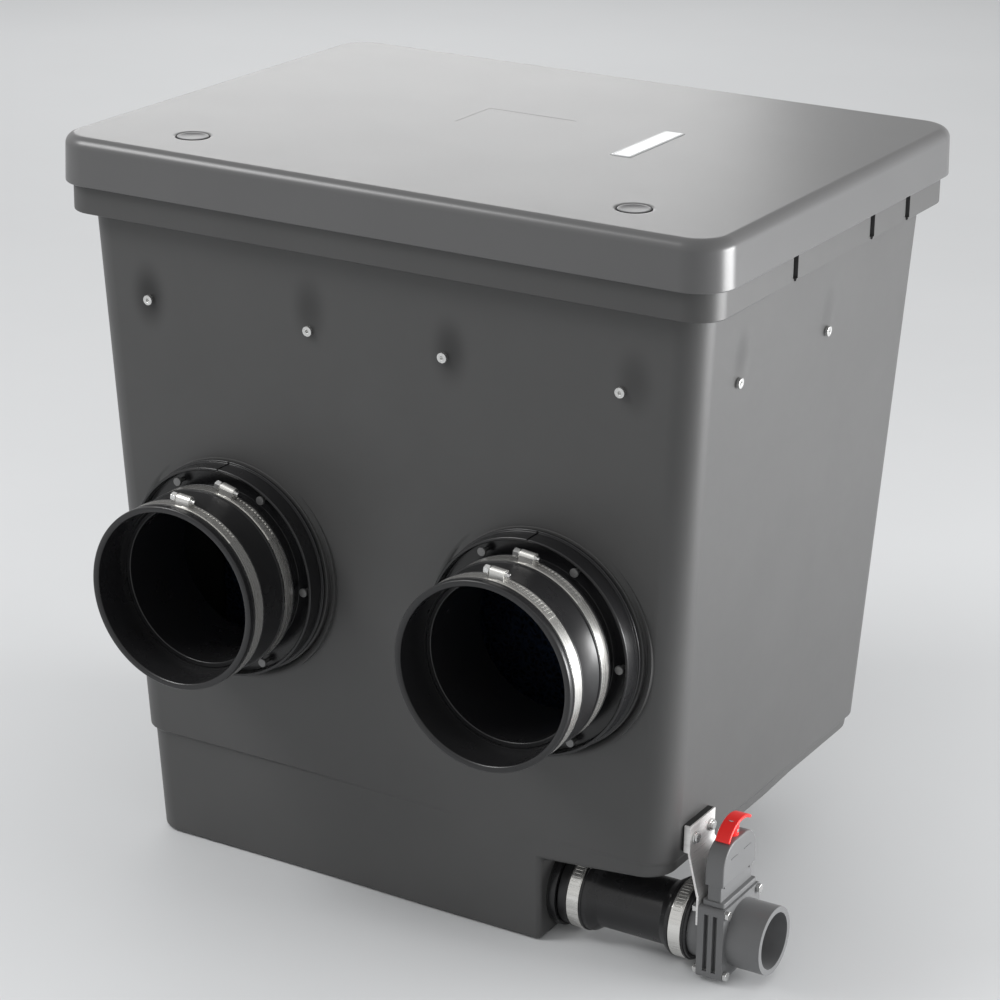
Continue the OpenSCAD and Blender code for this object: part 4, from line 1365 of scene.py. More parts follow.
    def open_ports(self, shell: Piece) -> None:
        """Adds the round seats of the ports and opens the bores of the ports and the drain.

        Args:
            shell: The tub.
        """
        flare, edge = self.boss_flare, self.boss_edge
        blend = [
            (self.boss_radius + flare * (1 - math.sin(t)), -flare * (1 - math.cos(t)) - edge)
            for t in turns(90.0, -90.0, self.boss_steps)
        ]
        profile = [
            (0.0, 0.0),
            (self.boss_radius - edge, 0.0),
            (self.boss_radius - edge * CHAMFER, -edge * CHAMFER),
            *blend,
            (self.boss_radius + flare, -self.boss_depth),
            (0.0, -self.boss_depth),
        ]
        half_step = Matrix.Rotation(math.pi / self.round_steps, 4, "Z")
        reach = self.seat_y + self.through
        for x in (-self.port_x, self.port_x):
            for wall in Wall:
                place = turned((x, wall.value * self.seat_y, self.port_z), -90 * wall.value, "X")
                carve(shell, spin("boss", profile, self.round_steps, place), Cut.ADD)
            place = turned((x, 0, self.port_z), 90, "X") @ half_step
            bore = rod("bore", self.bore_radius, (-reach, reach), place, self.round_steps)
            carve(shell, bore, Cut.TAKE_AWAY)
        place = turned((self.sump_end, *self.drain_at), 90, "Y")
        span = (-self.through, self.through)
        carve(shell, rod("drain", self.drain_radius, span, place, self.drain_steps), Cut.TAKE_AWAY)

    def cut_rim(self, shell: Piece) -> None:
        """Cuts the shallow pockets and the upright slots of the side rims.

        Args:
            shell: The tub.
        """
        face = self.top_half[0] + self.rim_out
        half_slot = self.slot_width / 2
        pockets, slots = [], []
        for side in (-1, 1):
            for start, end in self.pockets:
                x = sorted((side * (face - self.pocket_depth), side * (face + OVERCUT)))
                pockets.append(((x[0], start, self.rim_low - OVERCUT), (x[1], end, self.pocket_top)))
                x = sorted((side * (face - self.rim_thick - self.slot_over), side * (face + OVERCUT)))
                low = self.rim_low + half_slot
                slots.append(((x[0], end - half_slot, low), (x[1], end + half_slot, self.pocket_top)))
        carve(shell, box_mesh("pockets", pockets), Cut.TAKE_AWAY)
        carve(shell, box_mesh("slots", slots), Cut.TAKE_AWAY)


@dataclass
class LidCover(Assembly):
    """Lift-off cover with a deep flared skirt, a large fillet, two plugs and a bare plate."""

    edge_half: tuple[float, float] = (0.333, 0.2485)
    inner_half: tuple[float, float] = (0.3295, 0.245)
    inner_corner: float = 0.0315
    corner: float = 0.035
    low: float = 0.6475
    top: float = 0.691
    ceiling: float = 0.6845
    flare: float = 0.001
    fillet: float = 0.010
    fillet_steps: int = 10
    corner_steps: int = 18
    low_edge: float = 0.0012
    plugs: tuple[str, ...] = ("lid_plug_left", "lid_plug_right")
    groove: float = 0.001
    plug_head: float = 0.003
    panel: tuple[float, float] = (0.092, 0.062)
    panel_at: tuple[float, float] = (-0.012, 0.026)
    panel_depth: float = 0.00012
    plate_edge: float = 0.0003
    plate_corner: float = 0.003
    plate_gap: float = 0.0002
    border_at: tuple[float, float] = (0.0013, 0.0021)
    border_depth: float = 0.0004
    border_slope: float = 0.0001
    front_marks: tuple[float, ...] = (-0.1, 0.1)
    side_marks: tuple[float, ...] = (-0.07, 0.07)
    low_steps: int = 3
    dish: tuple[float, float] = (0.0035, 0.0011)
    dish_steps: int = 6
    dish_over: float = 0.004
    plug_step: float = 0.0035
    plug_edge: float = 0.0008
    plug_steps: int = 64
    crown: float = 0.0004
    crown_at: tuple[Point, ...] = ((0.8, 0.2), (0.72, 1.0), (0.0, 1.0))

    def ring(self, z: float, half: Sequence[float], inset: float, corner: float) -> Ring:
        """Lists the points of the cover at a height.

        Args:
            z: The height.
            half: Half width and half depth.
            inset: How far the points lie inside them.
            corner: Corner radius.

        Returns:
            The points.
        """
        size = [h - inset for h in half]
        marks = (self.front_marks, self.side_marks)
        return level(rounded_plan(size, corner - inset, *marks, self.corner_steps), z)

    def build(self) -> None:
        """Builds the cover, its plugs and its plate."""
        rings = [
            self.ring(self.ceiling, self.inner_half, 0.0, self.inner_corner),
            self.ring(self.low, self.inner_half, 0.0, self.inner_corner),
            self.ring(self.low, self.edge_half, -self.flare, self.corner),
        ]
        for turn in turns(0.0, 90.0, self.fillet_steps):
            z = self.top - self.fillet * (1 - math.sin(turn))
            rings.append(self.ring(z, self.edge_half, self.fillet * (1 - math.cos(turn)), self.corner))
        bm = stack(rings)
        low = bent_edges(bm, SHARP_ANGLE, lambda m: m.z < self.low + NEAR)
        round_edges(bm, low, self.low_edge, self.low_steps)
        cover = finish_mesh("lid_cover", bm)
        for node in self.plugs:
            self.sink_plug(cover, node)
            self.pieces[node] = self.plug(node)
        self.sink_plates(cover)
        weigh_normals(cover)
        self.pieces["lid"] = cover
        self.pieces["nameplate"] = self.nameplate()
        super().build()

    def sink_plug(self, cover: Piece, node: str) -> None:
        """Cuts the dished socket of a plug.

        Args:
            cover: The cover.
            node: The plug's node.
        """
        low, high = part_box(node)
        radius = (high.x - low.x) / 2 + self.groove
        dish, dip = self.dish
        rim = [
            (radius + dish * (1 - math.cos(t)), -dip * (1 - math.sin(t)))
            for t in turns(0.0, 90.0, self.dish_steps)
        ]
        profile = [
            (0.0, -self.plug_head),
            (radius, -self.plug_head),
            *rim,
            (radius + dish, self.dish_over),
            (0.0, self.dish_over),
        ]
        place = Matrix.Translation((*middle_of(node).xy, self.top))
        carve(cover, spin("socket", profile, self.plug_steps, place), Cut.TAKE_AWAY)

    def sink_plates(self, cover: Piece) -> None:
        """Cuts the bare panel and the plate's seat into the top.

        Args:
            cover: The cover.
        """
        low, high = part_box("nameplate")
        gap = self.plate_gap
        seat = ((low.x - gap, low.y - gap, low.z - gap), (high.x + gap, high.y + gap, self.top + OVERCUT))
        middle = Vector((*self.panel_at, self.top))
        reach = Vector((self.panel[0] / 2, self.panel[1] / 2, self.panel_depth))
        carve(cover, box_mesh("plates", (seat, (middle - reach, middle + reach))), Cut.TAKE_AWAY)

    def plug(self, node: str) -> Piece:
        """Builds a crowned plug with a rounded edge.

        Args:
            node: The node it stands for.

        Returns:
            The plug.
        """
        low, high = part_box(node)
        radius, edge = (high.x - low.x) / 2, self.plug_edge
        top = high.z - low.z
        stem, head = radius - self.plug_step, top - self.plug_head
        profile = [
            (0.0, 0.0),
            (stem, 0.0),
            (stem, head),
            (radius, head),
            (radius, top - edge),
            (radius - edge * CHAMFER, top - edge * CHAMFER),
            (radius - edge, top),
            *((radius * share, top - self.crown * drop) for share, drop in self.crown_at),
        ]
        place = Matrix.Translation((*middle_of(node).xy, low.z))
        return spin(f"{node}_piece", profile, self.plug_steps, place)

    def nameplate(self) -> Piece:
        """Builds the bare plate with a fine groove round its border.

        Returns:
            The plate.
        """
        low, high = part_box("nameplate")
        half = ((high.x - low.x) / 2, (high.y - low.y) / 2)
        edge, slope, groove = self.plate_edge, self.border_slope, high.z - self.border_depth
        start, end = self.border_at
        steps = (
            (low.z, 0.0),
            (high.z - edge, 0.0),
            (high.z - edge * CHAMFER, edge * CHAMFER),
            (high.z, edge),
            (high.z, start),
            (groove, start + slope),
            (groove, end - slope),
            (high.z, end),
        )
        rings = [
            level(rounded_plan([h - inset for h in half], self.plate_corner - inset), z, (low + high) / 2)
            for z, inset in steps
        ]
        return finish_mesh("nameplate_piece", stack(rings))


def softened(*groups: tuple[float, Sequence[str]]) -> Any:
    """Gives each group of nodes its rounding, as an assembly's field."""
    return field(default_factory=lambda: {name: width for width, names in groups for name in names})


@dataclass
class PipePorts(Assembly):
    """Four flanged ports, with rubber sleeves and clamp bands on the front pair."""

    edges: dict[str, float] = softened(
        (0.00018, [f"{row}_clamp_{side}" for row in ("front", "rear") for side in ("left", "right")]),
        (0.0002, [f"{row}_worm_{side}" for row in ("front", "rear") for side in ("left", "right")]),
        (0.0005, ("inlet_screws", "outlet_screws")),
    )
    kept: tuple[str, ...] = (
        "inlet_gasket_left",
        "inlet_gasket_right",
        "outlet_gaskets",
        "inlet_ring_left",
        "inlet_ring_right",
        "outlet_rings",
    )
    flanges: tuple[tuple[str, Wall], ...] = (
        ("inlet_flange_left", Wall.FRONT),
        ("inlet_flange_right", Wall.FRONT),
        ("outlet_flange_left", Wall.REAR),
        ("outlet_flange_right", Wall.REAR),
    )
    sleeves: tuple[str, ...] = ("inlet_sleeve_left", "inlet_sleeve_right")
    # Screws dressed in the darker copy of the screw steel, painted shade.
    shade_painted_screws: tuple[str, ...] = ("inlet_screws", "outlet_screws")
    gasket: float = 0.003
    floor: float = 0.013
    lip: tuple[float, float] = (0.102, 0.0055)
    collar: tuple[float, float] = (0.100, 0.023)
    collar_wall: float = 0.003
    shoulder: tuple[float, float] = (0.0805, 0.024)
    spigot: tuple[float, float] = (0.079, 0.058)
    tail_radius: float = 0.078
    bore: float = 0.074
    boss: tuple[float, float] = (0.0055, 0.020)
    boss_circle: float = 0.091
    boss_count: int = 6
    boss_sink: float = 0.001
    boss_steps: int = 32
    notch: tuple[float, float, float] = (0.002, 0.001, 0.005)
    notch_over: float = 1.02
    sleeve_start: float = 0.025
    sleeve_radius: float = 0.0852
    sleeve_bore: float = 0.0802
    sleeve_grip: float = 0.0792
    bead: tuple[float, float] = (0.0864, 0.002)
    beads: tuple[float, ...] = (0.0295, 0.0445, 0.0755, 0.0905)
    mouth_lip: float = 0.006
    steps: int = 128

    def build(self) -> None:
        """Builds the flanges and the sleeves."""
        for node, wall in self.flanges:
            self.pieces[node] = self.flange(node, wall)
        for node in self.sleeves:
            self.pieces[node] = self.sleeve(node)
        super().build()

    def dress(self) -> None:
        """Dresses the ports and gives the flanges' screws the darker copy of the screw steel, which is
        painted shade.
        """
        super().dress()
        for node in self.shade_painted_screws:
            self.shop.dress(self.pieces[node], "shaded_flange_screws")

    def place(self, node: str, wall: Wall, out: float) -> Matrix:
        """Gives the place of a port: its own +Z points out of the wall, from the port's seat.

        Args:
            node: A node round the port's axis.
            wall: The wall it is on.
            out: How far the node reaches out from the seat.

        Returns:
            The place.
        """
        low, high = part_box(node)
        seat = low.y + out if wall is Wall.FRONT else high.y - out
        middle = (low + high) / 2
        return turned((middle.x, seat, middle.z), -90 * wall.value, "X")

    def flange(self, node: str, wall: Wall) -> Piece:
        """Builds a flange: a lipped collar round a screw recess, a spigot and a tail through the wall.

        Args:
            node: The node it stands for.
            wall: The wall it is on.

        Returns:
            The flange.
        """
        low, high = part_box(node)
        tail = self.spigot[1] - (high.y - low.y)
        lip_radius, lip_top = self.lip
        collar_radius, collar_top = self.collar
        inside = collar_radius - self.collar_wall
        step_radius, step_top = self.shoulder
        spigot_radius, spigot_end = self.spigot
        corners = [
            (self.bore, tail, 0.0),
            (self.tail_radius, tail, 0.0),
            (self.tail_radius, self.gasket, 0.0),
            (lip_radius, self.gasket, 0.0004),
            (lip_radius, lip_top, 0.0008),
            (collar_radius, lip_top, 0.0006),
            (collar_radius, collar_top, 0.0011),
            (inside, collar_top, 0.0011),
            (inside, self.floor, 0.0008),
            (step_radius, self.floor, 0.0008),
            (step_radius, step_top, 0.0005),
            (spigot_radius, step_top, 0.0004),
            (spigot_radius, spigot_end, 0.001),
            (self.bore, spigot_end, 0.001),
        ]
        bm = bmesh.new()
        spin_into(bm, rounded_profile(corners), self.steps)
        foot, (boss_radius, boss_top) = self.floor - self.boss_sink, self.boss
        post = [
            (0.0, foot, 0.0),
            (boss_radius, foot, 0.0),
            (boss_radius, boss_top, 0.0006),
            (0.0, boss_top, 0.0),
        ]
        for i in range(self.boss_count):
            turn = Matrix.Rotation(2 * math.pi * i / self.boss_count, 4, "Z")
            place = turn @ Matrix.Translation((self.boss_circle, 0, 0))
            spin_into(bm, rounded_profile(post), self.boss_steps, place)
        piece = finish_mesh(f"{node}_piece", bm)
        width, depth, start = self.notch
        high_side = collar_radius * (1 if wall is Wall.FRONT else -1)
        span = sorted((high_side * (1 - depth / collar_radius), high_side * self.notch_over))
        box = ((-width / 2, span[0], start), (width / 2, span[1], collar_top + OVERCUT))
        carve(piece, box_mesh("notch", (box,)), Cut.TAKE_AWAY)
        piece.data.transform(self.place(node, wall, spigot_end))
        weigh_normals(piece)
        return piece

    def sleeve(self, node: str) -> Piece:
        """Builds a rubber sleeve with beads beside its bands and a thick round mouth.

        Args:
            node: The node it stands for.

        Returns:
            The sleeve.
        """
        low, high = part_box(node)
        end = self.sleeve_start + high.y - low.y
        out, (crest, width) = self.sleeve_radius, self.bead
        mouth, spigot_end = end - self.mouth_lip, self.spigot[1]
        corners = [
            (self.sleeve_grip, self.sleeve_start, 0.0003),
            (out, self.sleeve_start, 0.0006),
            *bead_corners(out, crest, width, self.beads),
            (out, mouth, 0.0002),
            (crest, mouth, 0.0006),
            (crest, end, 0.0016),
            (self.sleeve_bore, end, 0.0022),
            (self.sleeve_bore, spigot_end, 0.0),
            (self.sleeve_grip, spigot_end, 0.0),
        ]
        place = self.place(node, Wall.FRONT, end)
        return spin(f"{node}_piece", rounded_profile(corners), self.steps, place)


@dataclass
class DrainLine(Assembly):
    """Drain collar on the sump's end face with its waisted rubber sleeve and two clamp bands."""

    edges: dict[str, float] = softened(
        (0.0008, ("drain_collar",)),
        (0.00018, ("drain_clamp_inner", "drain_clamp_outer")),
        (0.0002, ("drain_worm_inner", "drain_worm_outer")),
    )
    kept: tuple[str, ...] = ("drain_gasket", "drain_locknut")
    radius: float = 0.0352
    thick: float = 0.0035
    cuffs: tuple[float, float] = (0.029, 0.021)
    cone: float = 0.008
    waist: float = 0.0055
    bend: float = 0.004
    bead: tuple[float, float] = (0.0012, 0.002)
    beads: tuple[float, ...] = (0.0085, 0.0235, 0.1115, 0.1265)
    steps: int = 96

    def build(self) -> None:
        """Builds the sleeve and softens the rest."""
        self.pieces["drain_sleeve"] = self.sleeve("drain_sleeve")
        super().build()

    def sleeve(self, node: str) -> Piece:
        """Builds the sleeve: two beaded cuffs, a narrow waist and soft cones between them.

        Args:
            node: The node it stands for.

        Returns:
            The sleeve.
        """
        low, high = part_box(node)
        length = high.x - low.x
        middle = (low + high) / 2
        out, inside = self.radius, self.radius - self.thick
        rise, width = self.bead
        first, last = self.cuffs[0], length - self.cuffs[1]
        waist = ((0.0, first), (self.waist, first + self.cone), (self.waist, last - self.cone), (0.0, last))
        near, far = ([b for b in self.beads if (b < length / 2) is half] for half in (True, False))
        corners = [
            (inside, 0.0, 0.0004),
            (out, 0.0, 0.0008),
            *bead_corners(out, out + rise, width, near),
            *((out - drop, z, self.bend) for drop, z in waist),
            *bead_corners(out, out + rise, width, far),
            (out, length, 0.0008),
            (inside, length, 0.0004),
            *((inside - drop, z, self.bend) for drop, z in reversed(waist)),
        ]
        place = turned((low.x, middle.y, middle.z), 90, "Y")
        return spin(f"{node}_piece", rounded_profile(corners), self.steps, place)


@dataclass
class SlideValve(Assembly):
    """Slide valve: two body halves, a bonnet over the gate, and a red handle on the stem."""

    edges: dict[str, float] = softened(
        (0.00035, ("valve_inlet_half", "valve_outlet_half")),
        (0.0005, ("valve_bolts",)),
        (0.0004, ("valve_nuts",)),
        (0.0002, ("gate_stem",)),
        (0.0003, ("handle_pin",)),
    )
    kept: tuple[str, ...] = ("valve_seals",)
    base: tuple[float, float, float] = (0.0215, 0.064, 0.005)
    neck: tuple[float, float, float] = (0.061, 0.013, 0.056)
    cap: tuple[float, float, float] = (0.064, 0.018, 0.038)
    base_corner: float = 0.002
    foot_edge: float = 0.0008
    cap_edge: float = 0.0014
    lap: float = 0.0002
    top_radius: float = 0.022
    roof: float = 0.004
    cavity: tuple[float, float, float] = (0.0566, 0.004, 0.018)
    blade_corner: float = 0.0177
    blade_edge: float = 0.0003
    blade_steps: int = 24
    shoulder_steps: int = 10
    stem_hole: float = 0.00405
    stem_start: float = 0.04
    round_steps: int = 48
    strip: tuple[float, float] = (0.014, 0.003)
    strip_edge: float = 0.0011
    strip_slack: float = 0.0001
    strip_steps: int = 20
    arc: float = 0.03145
    half_angle: float = 47.0
    tilt: float = 12.5
    hub: tuple[float, float] = (0.006, 0.013)
    hub_edge: float = 0.0006
    hub_sink: float = 0.002
    dashes: tuple[tuple[float, float], ...] = ((-0.0116, 0.0119), (0.0144, 0.0128))
    dash_z: float = 0.1170
    dash_size: tuple[float, float] = (0.0008, 0.0010)
    dots: tuple[float, ...] = (-0.0245, 0.0245)
    dot_z: float = 0.092
    dot_radius: float = 0.0013
    dot_steps: tuple[int, int] = (20, 10)
    marks: Piece | None = field(default=None, init=False)

    def build(self) -> None:
        """Builds the bonnet with its marks, the gate and the handle, and softens the rest."""
        self.pieces["bonnet"] = self.bonnet()
        self.pieces["gate_blade"] = self.blade()
        self.pieces["handle"] = self.handle()
        self.marks = self.bonnet_marks()
        super().build()

    def dress(self) -> None:
        """Dresses the valve and puts the marks on its bonnet."""
        super().dress()
        self.shop.attach(self.marks, "valve_pvc", TANK_BODY)

    @staticmethod
    def upright(name: str, size: Sequence[float], foot: float, edge: float, radius: float) -> Piece:
        """Makes an arched plate that stands across the pipe.

        Args:
            name: The piece's name.
            size: Its width, thickness and height.
            foot: The height it stands on.
            edge: The rounding of its rims.
            radius: The radius of its upper corners.

        Returns:
            The plate.
        """
        width, thick, height = size
        middle = middle_of("bonnet")
        piece = plate(name, lambda inset: arch_plan(width, height, radius, inset), thick, edge)
        piece.data.transform(Matrix.Translation((middle.x, middle.y, foot)) @ ACROSS)
        return piece

    def bonnet(self) -> Piece:
        """Builds the bonnet: a foot, a neck and a thicker cap, hollow for the gate.

        Returns:
            The bonnet.
        """
        low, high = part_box("bonnet")
        middle = (low + high) / 2
        width, depth, foot = self.base

        def foot_plan(inset: float) -> list[Point]:
            """Lists the points of the foot's outline, set in by an amount."""
            return rounded_plan((width / 2 - inset, depth / 2 - inset), self.base_corner - inset)

        piece = plate("bonnet_piece", foot_plan, foot, self.foot_edge)
        piece.data.transform(Matrix.Translation((*middle.xy, low.z + foot / 2)))
        parts = (
            ("neck", self.neck, low.z + self.lap, self.foot_edge),
            ("cap", self.cap, high.z - self.cap[2], self.cap_edge),
        )
        for part in parts:
            carve(piece, self.upright(*part, self.top_radius), Cut.ADD)
        room = high.z - self.roof - low.z + NEAR
        hollow = self.upright("hollow", (*self.cavity[:2], room), low.z - NEAR, 0.0, self.cavity[2])
        weld(hollow)
        carve(piece, hollow, Cut.TAKE_AWAY)
        place = Matrix.Translation((*middle.xy, 0))
        span = (low.z + self.stem_start, high.z + OVERCUT)
        carve(piece, rod("stem_hole", self.stem_hole, span, place, self.round_steps), Cut.TAKE_AWAY)
        weigh_normals(piece)
        return piece

    def blade(self) -> Piece:
        """Builds the gate: a thin plate with a round foot and round shoulders.

        Returns:
            The gate.
        """
        low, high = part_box("gate_blade")
        half, middle = (high.y - low.y) / 2, (low + high) / 2
        foot = low.z + half
        inner = (half - self.blade_corner, high.z - foot - self.blade_corner)

        def outline(inset: float) -> list[Point]:
            """Lists the points of the plate's outline.

            Args:
                inset: How far they lie inside it.

            Returns:
                The points.
            """
            runs = (
                (half - inset, (0.0, 0.0), turns(180.0, 180.0, self.blade_steps)),
                (self.blade_corner - inset, inner, turns(0.0, 90.0, self.shoulder_steps)),
                (self.blade_corner - inset, (-inner[0], inner[1]), turns(90.0, 90.0, self.shoulder_steps)),
            )
            return [(x + r * math.cos(t), y + r * math.sin(t)) for r, (x, y), bend in runs for t in bend]

        piece = plate("gate_blade_piece", outline, high.x - low.x, self.blade_edge)
        piece.data.transform(Matrix.Translation((*middle.xy, foot)) @ ACROSS)
        return piece

    def bonnet_marks(self) -> Piece:
        """Builds two thin raised bars on the cap's face and two round marks on the neck.

        Returns:
            The marks, as one piece.
        """
        middle, face = middle_of("bonnet"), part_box("bonnet")[1].x
        cap_face, neck_face = (middle.x + part[1] / 2 for part in (self.cap, self.neck))
        thick, tall = self.dash_size
        around, along = self.dot_steps
        bm = bmesh.new()
        for offset, length in self.dashes:
            place = Matrix.Translation((cap_face, middle.y + offset, self.dash_z))
            bmesh.ops.create_cube(bm, size=1.0, matrix=place @ Matrix.Diagonal((thick, length, tall, 1.0)))
        for offset in self.dots:
            place = Matrix.Translation((min(face, neck_face), middle.y + offset, self.dot_z))
            bmesh.ops.create_uvsphere(
                bm, u_segments=around, v_segments=along, radius=self.dot_radius, matrix=place
            )
        return finish_mesh("bonnet_marks", bm)

    def handle(self) -> Piece:
        """Builds the handle: an arched strip with rounded edges on a round hub.

        Returns:
            The handle.
        """
        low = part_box("handle")[0]
        stem = middle_of("gate_stem")
        width, thick = self.strip
        reach = math.radians(2 * self.half_angle) * self.arc
        centre, bend = self.arc - thick / 2, self.strip_edge + self.strip_slack
        ends = eased(reach, self.strip_edge)
        half = len(ends) // 2
        run = [(reach * (i / self.strip_steps - 0.5), 0.0) for i in range(1, self.strip_steps)]
        rings: list[Ring] = []
        for along, inset in (*ends[:half], *run, *ends[half:]):
            sine, cosine = math.sin(along / self.arc), math.cos(along / self.arc)
            plan = rounded_plan((width / 2 - inset, thick / 2 - inset), bend - inset, steps=3)
            rings.append([Vector((x, (centre + y) * sine, (centre + y) * cosine)) for x, y in plan])
        piece = finish_mesh("handle_piece", stack(rings))
        radius, height = self.hub
        place = turned((*stem.xy, low.z + height + self.hub_sink), self.tilt, "X")
        piece.data.transform(place @ Matrix.Translation((0, 0, -self.arc)))
        corners = [(0.0, 0.0, 0.0), (radius, 0.0, self.hub_edge), (radius, height, 0.0), (0.0, height, 0.0)]
        place = Matrix.Translation((*stem.xy, low.z))
        carve(piece, spin("hub", rounded_profile(corners), self.round_steps, place), Cut.ADD)
        weigh_normals(piece)
        return piece


@dataclass
class WallBracket(Assembly):
    """Bent sheet that carries the valve on the wall, with its rubber pad and screws."""

    edges: dict[str, float] = softened(
        (0.0004, ("bracket",)), (0.0002, ("bracket_pad",)), (0.0007, ("bracket_screws",))
    )


@dataclass
class RailFrame(Assembly):
    """Stiffening rails inside the walls and the screws that hold them."""

    edges: dict[str, float] = softened(
        (0.0002, ("rail_front", "rail_rear", "rail_left", "rail_right")), (0.0004, ("rail_screws",))
    )


@dataclass
class FilterMedia(Assembly):
    """Foam slabs that stand across the flow between a slotted floor and a hold-down grid."""

    kept: tuple[str, ...] = ("media_floor", "media_legs", "hold_down_grid")
    slabs: tuple[str, ...] = ("foam_coarse", "foam_medium", "foam_fine")
    voxel: float = 0.007
    shrink: float = 0.0012
    swell: float = 0.0014
    ripple: float = 0.0008
    grain: tuple[Point, ...] = ((55.0, 1.0), (130.0, 0.5))
    smoothing: int = 3
    facing: float = 0.6
    fill: float = 0.9

    def build(self) -> None:
        """Builds the slabs."""
        for node in self.slabs:
            self.pieces[node] = self.slab(node)
        super().build()

    def dress(self) -> None:
        """Dresses the media."""
        super().dress()

    def slab(self, node: str) -> Piece:
        """Builds one slab: softly swollen faces, rounded edges and an uneven cut surface.

        Args:
            node: The node it stands for.

        Returns:
            The slab.
        """
        low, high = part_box(node)
        inset = Vector((self.shrink,) * 3)
        slab = box_mesh(f"{node}_slab", ((low + inset, high - inset),))
        remesh = slab.modifiers.new("even_skin", "REMESH")
        remesh.mode = "VOXEL"
        remesh.voxel_size = self.voxel
        slab.modifiers.new("soft_edges", "SMOOTH").iterations = self.smoothing
        mesh = settle(slab)
        middle, half = (low + high) / 2, (high - low) / 2
        for vertex, normal in zip(mesh.vertices, [v.normal.copy() for v in mesh.vertices]):
            share = [(vertex.co[i] - middle[i]) / half[i] for i in range(3)]
            across = [s for s, n in zip(share, normal) if abs(n) < self.facing]
            crown = math.prod(max(0.0, 1 - s * s) for s in across)
            rough = sum(weight * noise.noise(vertex.co * scale) for scale, weight in self.grain)
            vertex.co += normal * (self.swell * crown + self.ripple * rough - self.ripple)
            vertex.co.z = max(vertex.co.z, low.z)
        mesh.shade_smooth()
        return slab


@dataclass
class Lamp:
    """Soft rectangular studio light."""

    name: str
    place: tuple[float, float, float]
    aim: tuple[float, float, float]
    size: tuple[float, float]
    power: float

    def build(self) -> None:
        """Hangs the light."""
        data = bpy.data.lights.new(self.name, "AREA")
        data.shape = "RECTANGLE"
        data.size, data.size_y = self.size
        data.energy = self.power
        lamp = bpy.data.objects.new(self.name, data)
        lamp.location = self.place
        lamp.rotation_mode = "QUATERNION"
        lamp.rotation_quaternion = (Vector(self.aim) - Vector(self.place)).to_track_quat("-Z", "Y")
        bpy.context.scene.collection.objects.link(lamp)


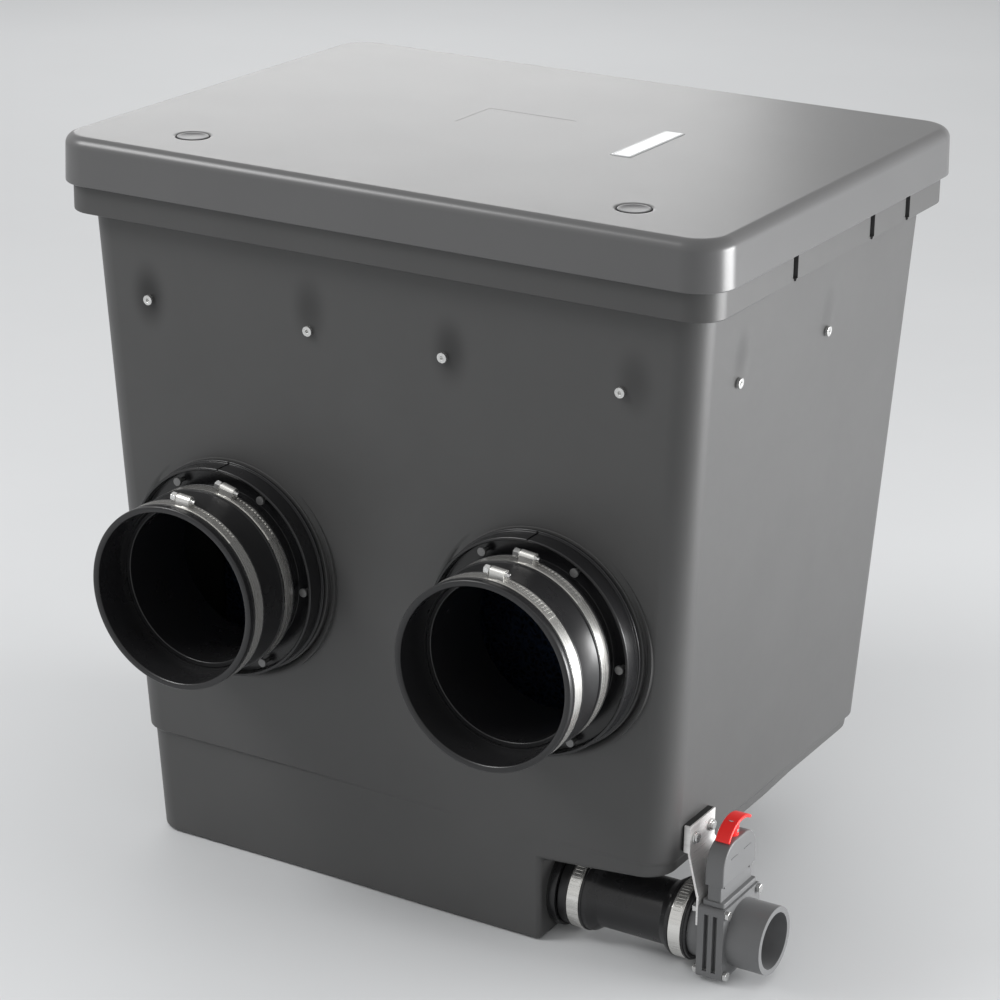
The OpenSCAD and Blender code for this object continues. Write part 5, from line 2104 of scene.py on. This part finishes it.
@dataclass
class Studio:
    """Pale floor, soft light and the camera at the viewing angle."""

    azimuth: float = 30.316
    elevation: float = 20.457
    roll: float = 0.851
    focal_px: float = 3079.12
    image_px: float = 1000.0
    sensor: float = 36.0
    target: tuple[float, float, float] = (-0.00443, -0.00551, 0.33325)
    distance: float = 2.90646
    floor_half: float = 14.0
    floor_colour: Colour = (0.66, 0.67, 0.68)
    floor_shade: float = 0.97
    floor_cloud: float = 1.2
    floor_rough: float = 0.8
    far: float = 100.0
    sky: float = 0.66
    backdrop: float = 0.92
    lamps: tuple[Lamp, ...] = (
        Lamp("key", (-1.75, -1.40, 2.4), (-0.1, -0.1, 0.45), (1.1, 1.1), 44.0),
        Lamp("back_left", (-2.45, 3.4, 1.6), (0.0, 0.0, 0.65), (2.0, 1.0), 16.0),
        Lamp("right", (2.2, 0.80, 0.40), (0.3, 0.0, 0.10), (1.4, 0.7), 74.0),
    )

    def build(self) -> None:
        """Sets up the floor, the lights, the sky and the camera."""
        bpy.context.scene.view_settings.view_transform = "Standard"
        self.build_floor()
        self.build_sky()
        for lamp in self.lamps:
            lamp.build()
        self.build_camera()

    def build_floor(self) -> None:
        """Lays the pale floor."""
        bm = bmesh.new()
        bmesh.ops.create_grid(bm, x_segments=1, y_segments=1, size=self.floor_half)
        floor = finish_mesh("floor", bm)
        material, wiring, shader = new_material("pale_floor")
        shade = opaque(self.floor_shade * c for c in self.floor_colour)
        patches = {"Base": opaque(self.floor_colour), "Shade": shade, "Scale": self.floor_cloud}
        cloud = EFFECTS.place(wiring, Effect.CLOUD, patches)
        wiring.feed(shader, {"Base Color": cloud.outputs["Colour"], "Roughness": self.floor_rough})
        floor.data.materials.append(material)

    def build_sky(self) -> None:
        """Fills the room with even light and shows it nearly white."""
        world = bpy.data.worlds.new("studio")
        bpy.context.scene.world = world
        world.use_nodes = True
        wiring = Wiring(world.node_tree)
        background = world.node_tree.nodes["Background"]
        seen = wiring.add("LightPath").outputs["Is Camera Ray"]
        strength = wiring.spread(seen, (0.0, 1.0), (self.sky, self.backdrop))
        wiring.feed(background, {"Color": (1.0, 1.0, 1.0, 1.0), "Strength": strength})

    def build_camera(self) -> None:
        """Sets the camera at the viewing angle."""
        turn, rise, tilt = (math.radians(v) for v in (self.azimuth, self.elevation, self.roll))
        back = Vector((math.sin(turn) * math.cos(rise), -math.cos(turn) * math.cos(rise), math.sin(rise)))
        right = Vector((math.cos(turn), math.sin(turn), 0.0))
        up = back.cross(right)
        rolled_right = math.cos(tilt) * right + math.sin(tilt) * up
        rolled_up = math.cos(tilt) * up - math.sin(tilt) * right
        data = bpy.data.cameras.new("camera")
        data.sensor_width = self.sensor
        data.lens = self.focal_px * self.sensor / self.image_px
        data.clip_end = self.far
        camera = bpy.data.objects.new("camera", data)
        axes = Matrix((rolled_right, rolled_up, back)).transposed()
        camera.matrix_world = Matrix.Translation(Vector(self.target) + self.distance * back) @ axes.to_4x4()
        bpy.context.scene.collection.objects.link(camera)
        bpy.context.scene.camera = camera


def screw_marks() -> tuple[SinkMark, ...]:
    """Lists the sink marks round the screws of the front and the right wall, each with the strength of its
    painted shade.

    Returns:
        The marks.
    """
    depth, front_y, right_x = 0.0006, -0.2243, 0.308
    front_half, right_half = (0.025, 0.06, 0.042), (0.06, 0.020, 0.034)
    # Each mark: its place along the wall, its height and the strength of its painted shade.
    front = ((-0.2445, 0.550, 0.95), (-0.0705, 0.566, 0.60), (0.0725, 0.553, 0.75), (0.2510, 0.557, 0.50))
    right = ((-0.145, 0.566, 0.45), (0.026, 0.562, 0.25))
    return (
        *(SinkMark((x, front_y, z), front_half, depth, painted_shade) for x, z, painted_shade in front),
        *(SinkMark((right_x, y, z), right_half, depth, painted_shade) for y, z, painted_shade in right),
    )


ASSEMBLIES: tuple[type[Assembly], ...] = (
    TankShell,
    LidCover,
    PipePorts,
    DrainLine,
    SlideValve,
    WallBracket,
    RailFrame,
    FilterMedia,
)


def main() -> None:
    """Builds and dresses the filter, then sets up the studio round it."""
    logging.basicConfig(level=logging.INFO, format="%(message)s")
    shop = Workshop(finish_table(screw_marks()))
    for kind in ASSEMBLIES:
        LOG.info("building %s", kind.__name__)
        assembly = kind(shop)
        assembly.build()
        assembly.dress()
    Studio().build()


if __name__ == "__main__":
    main()
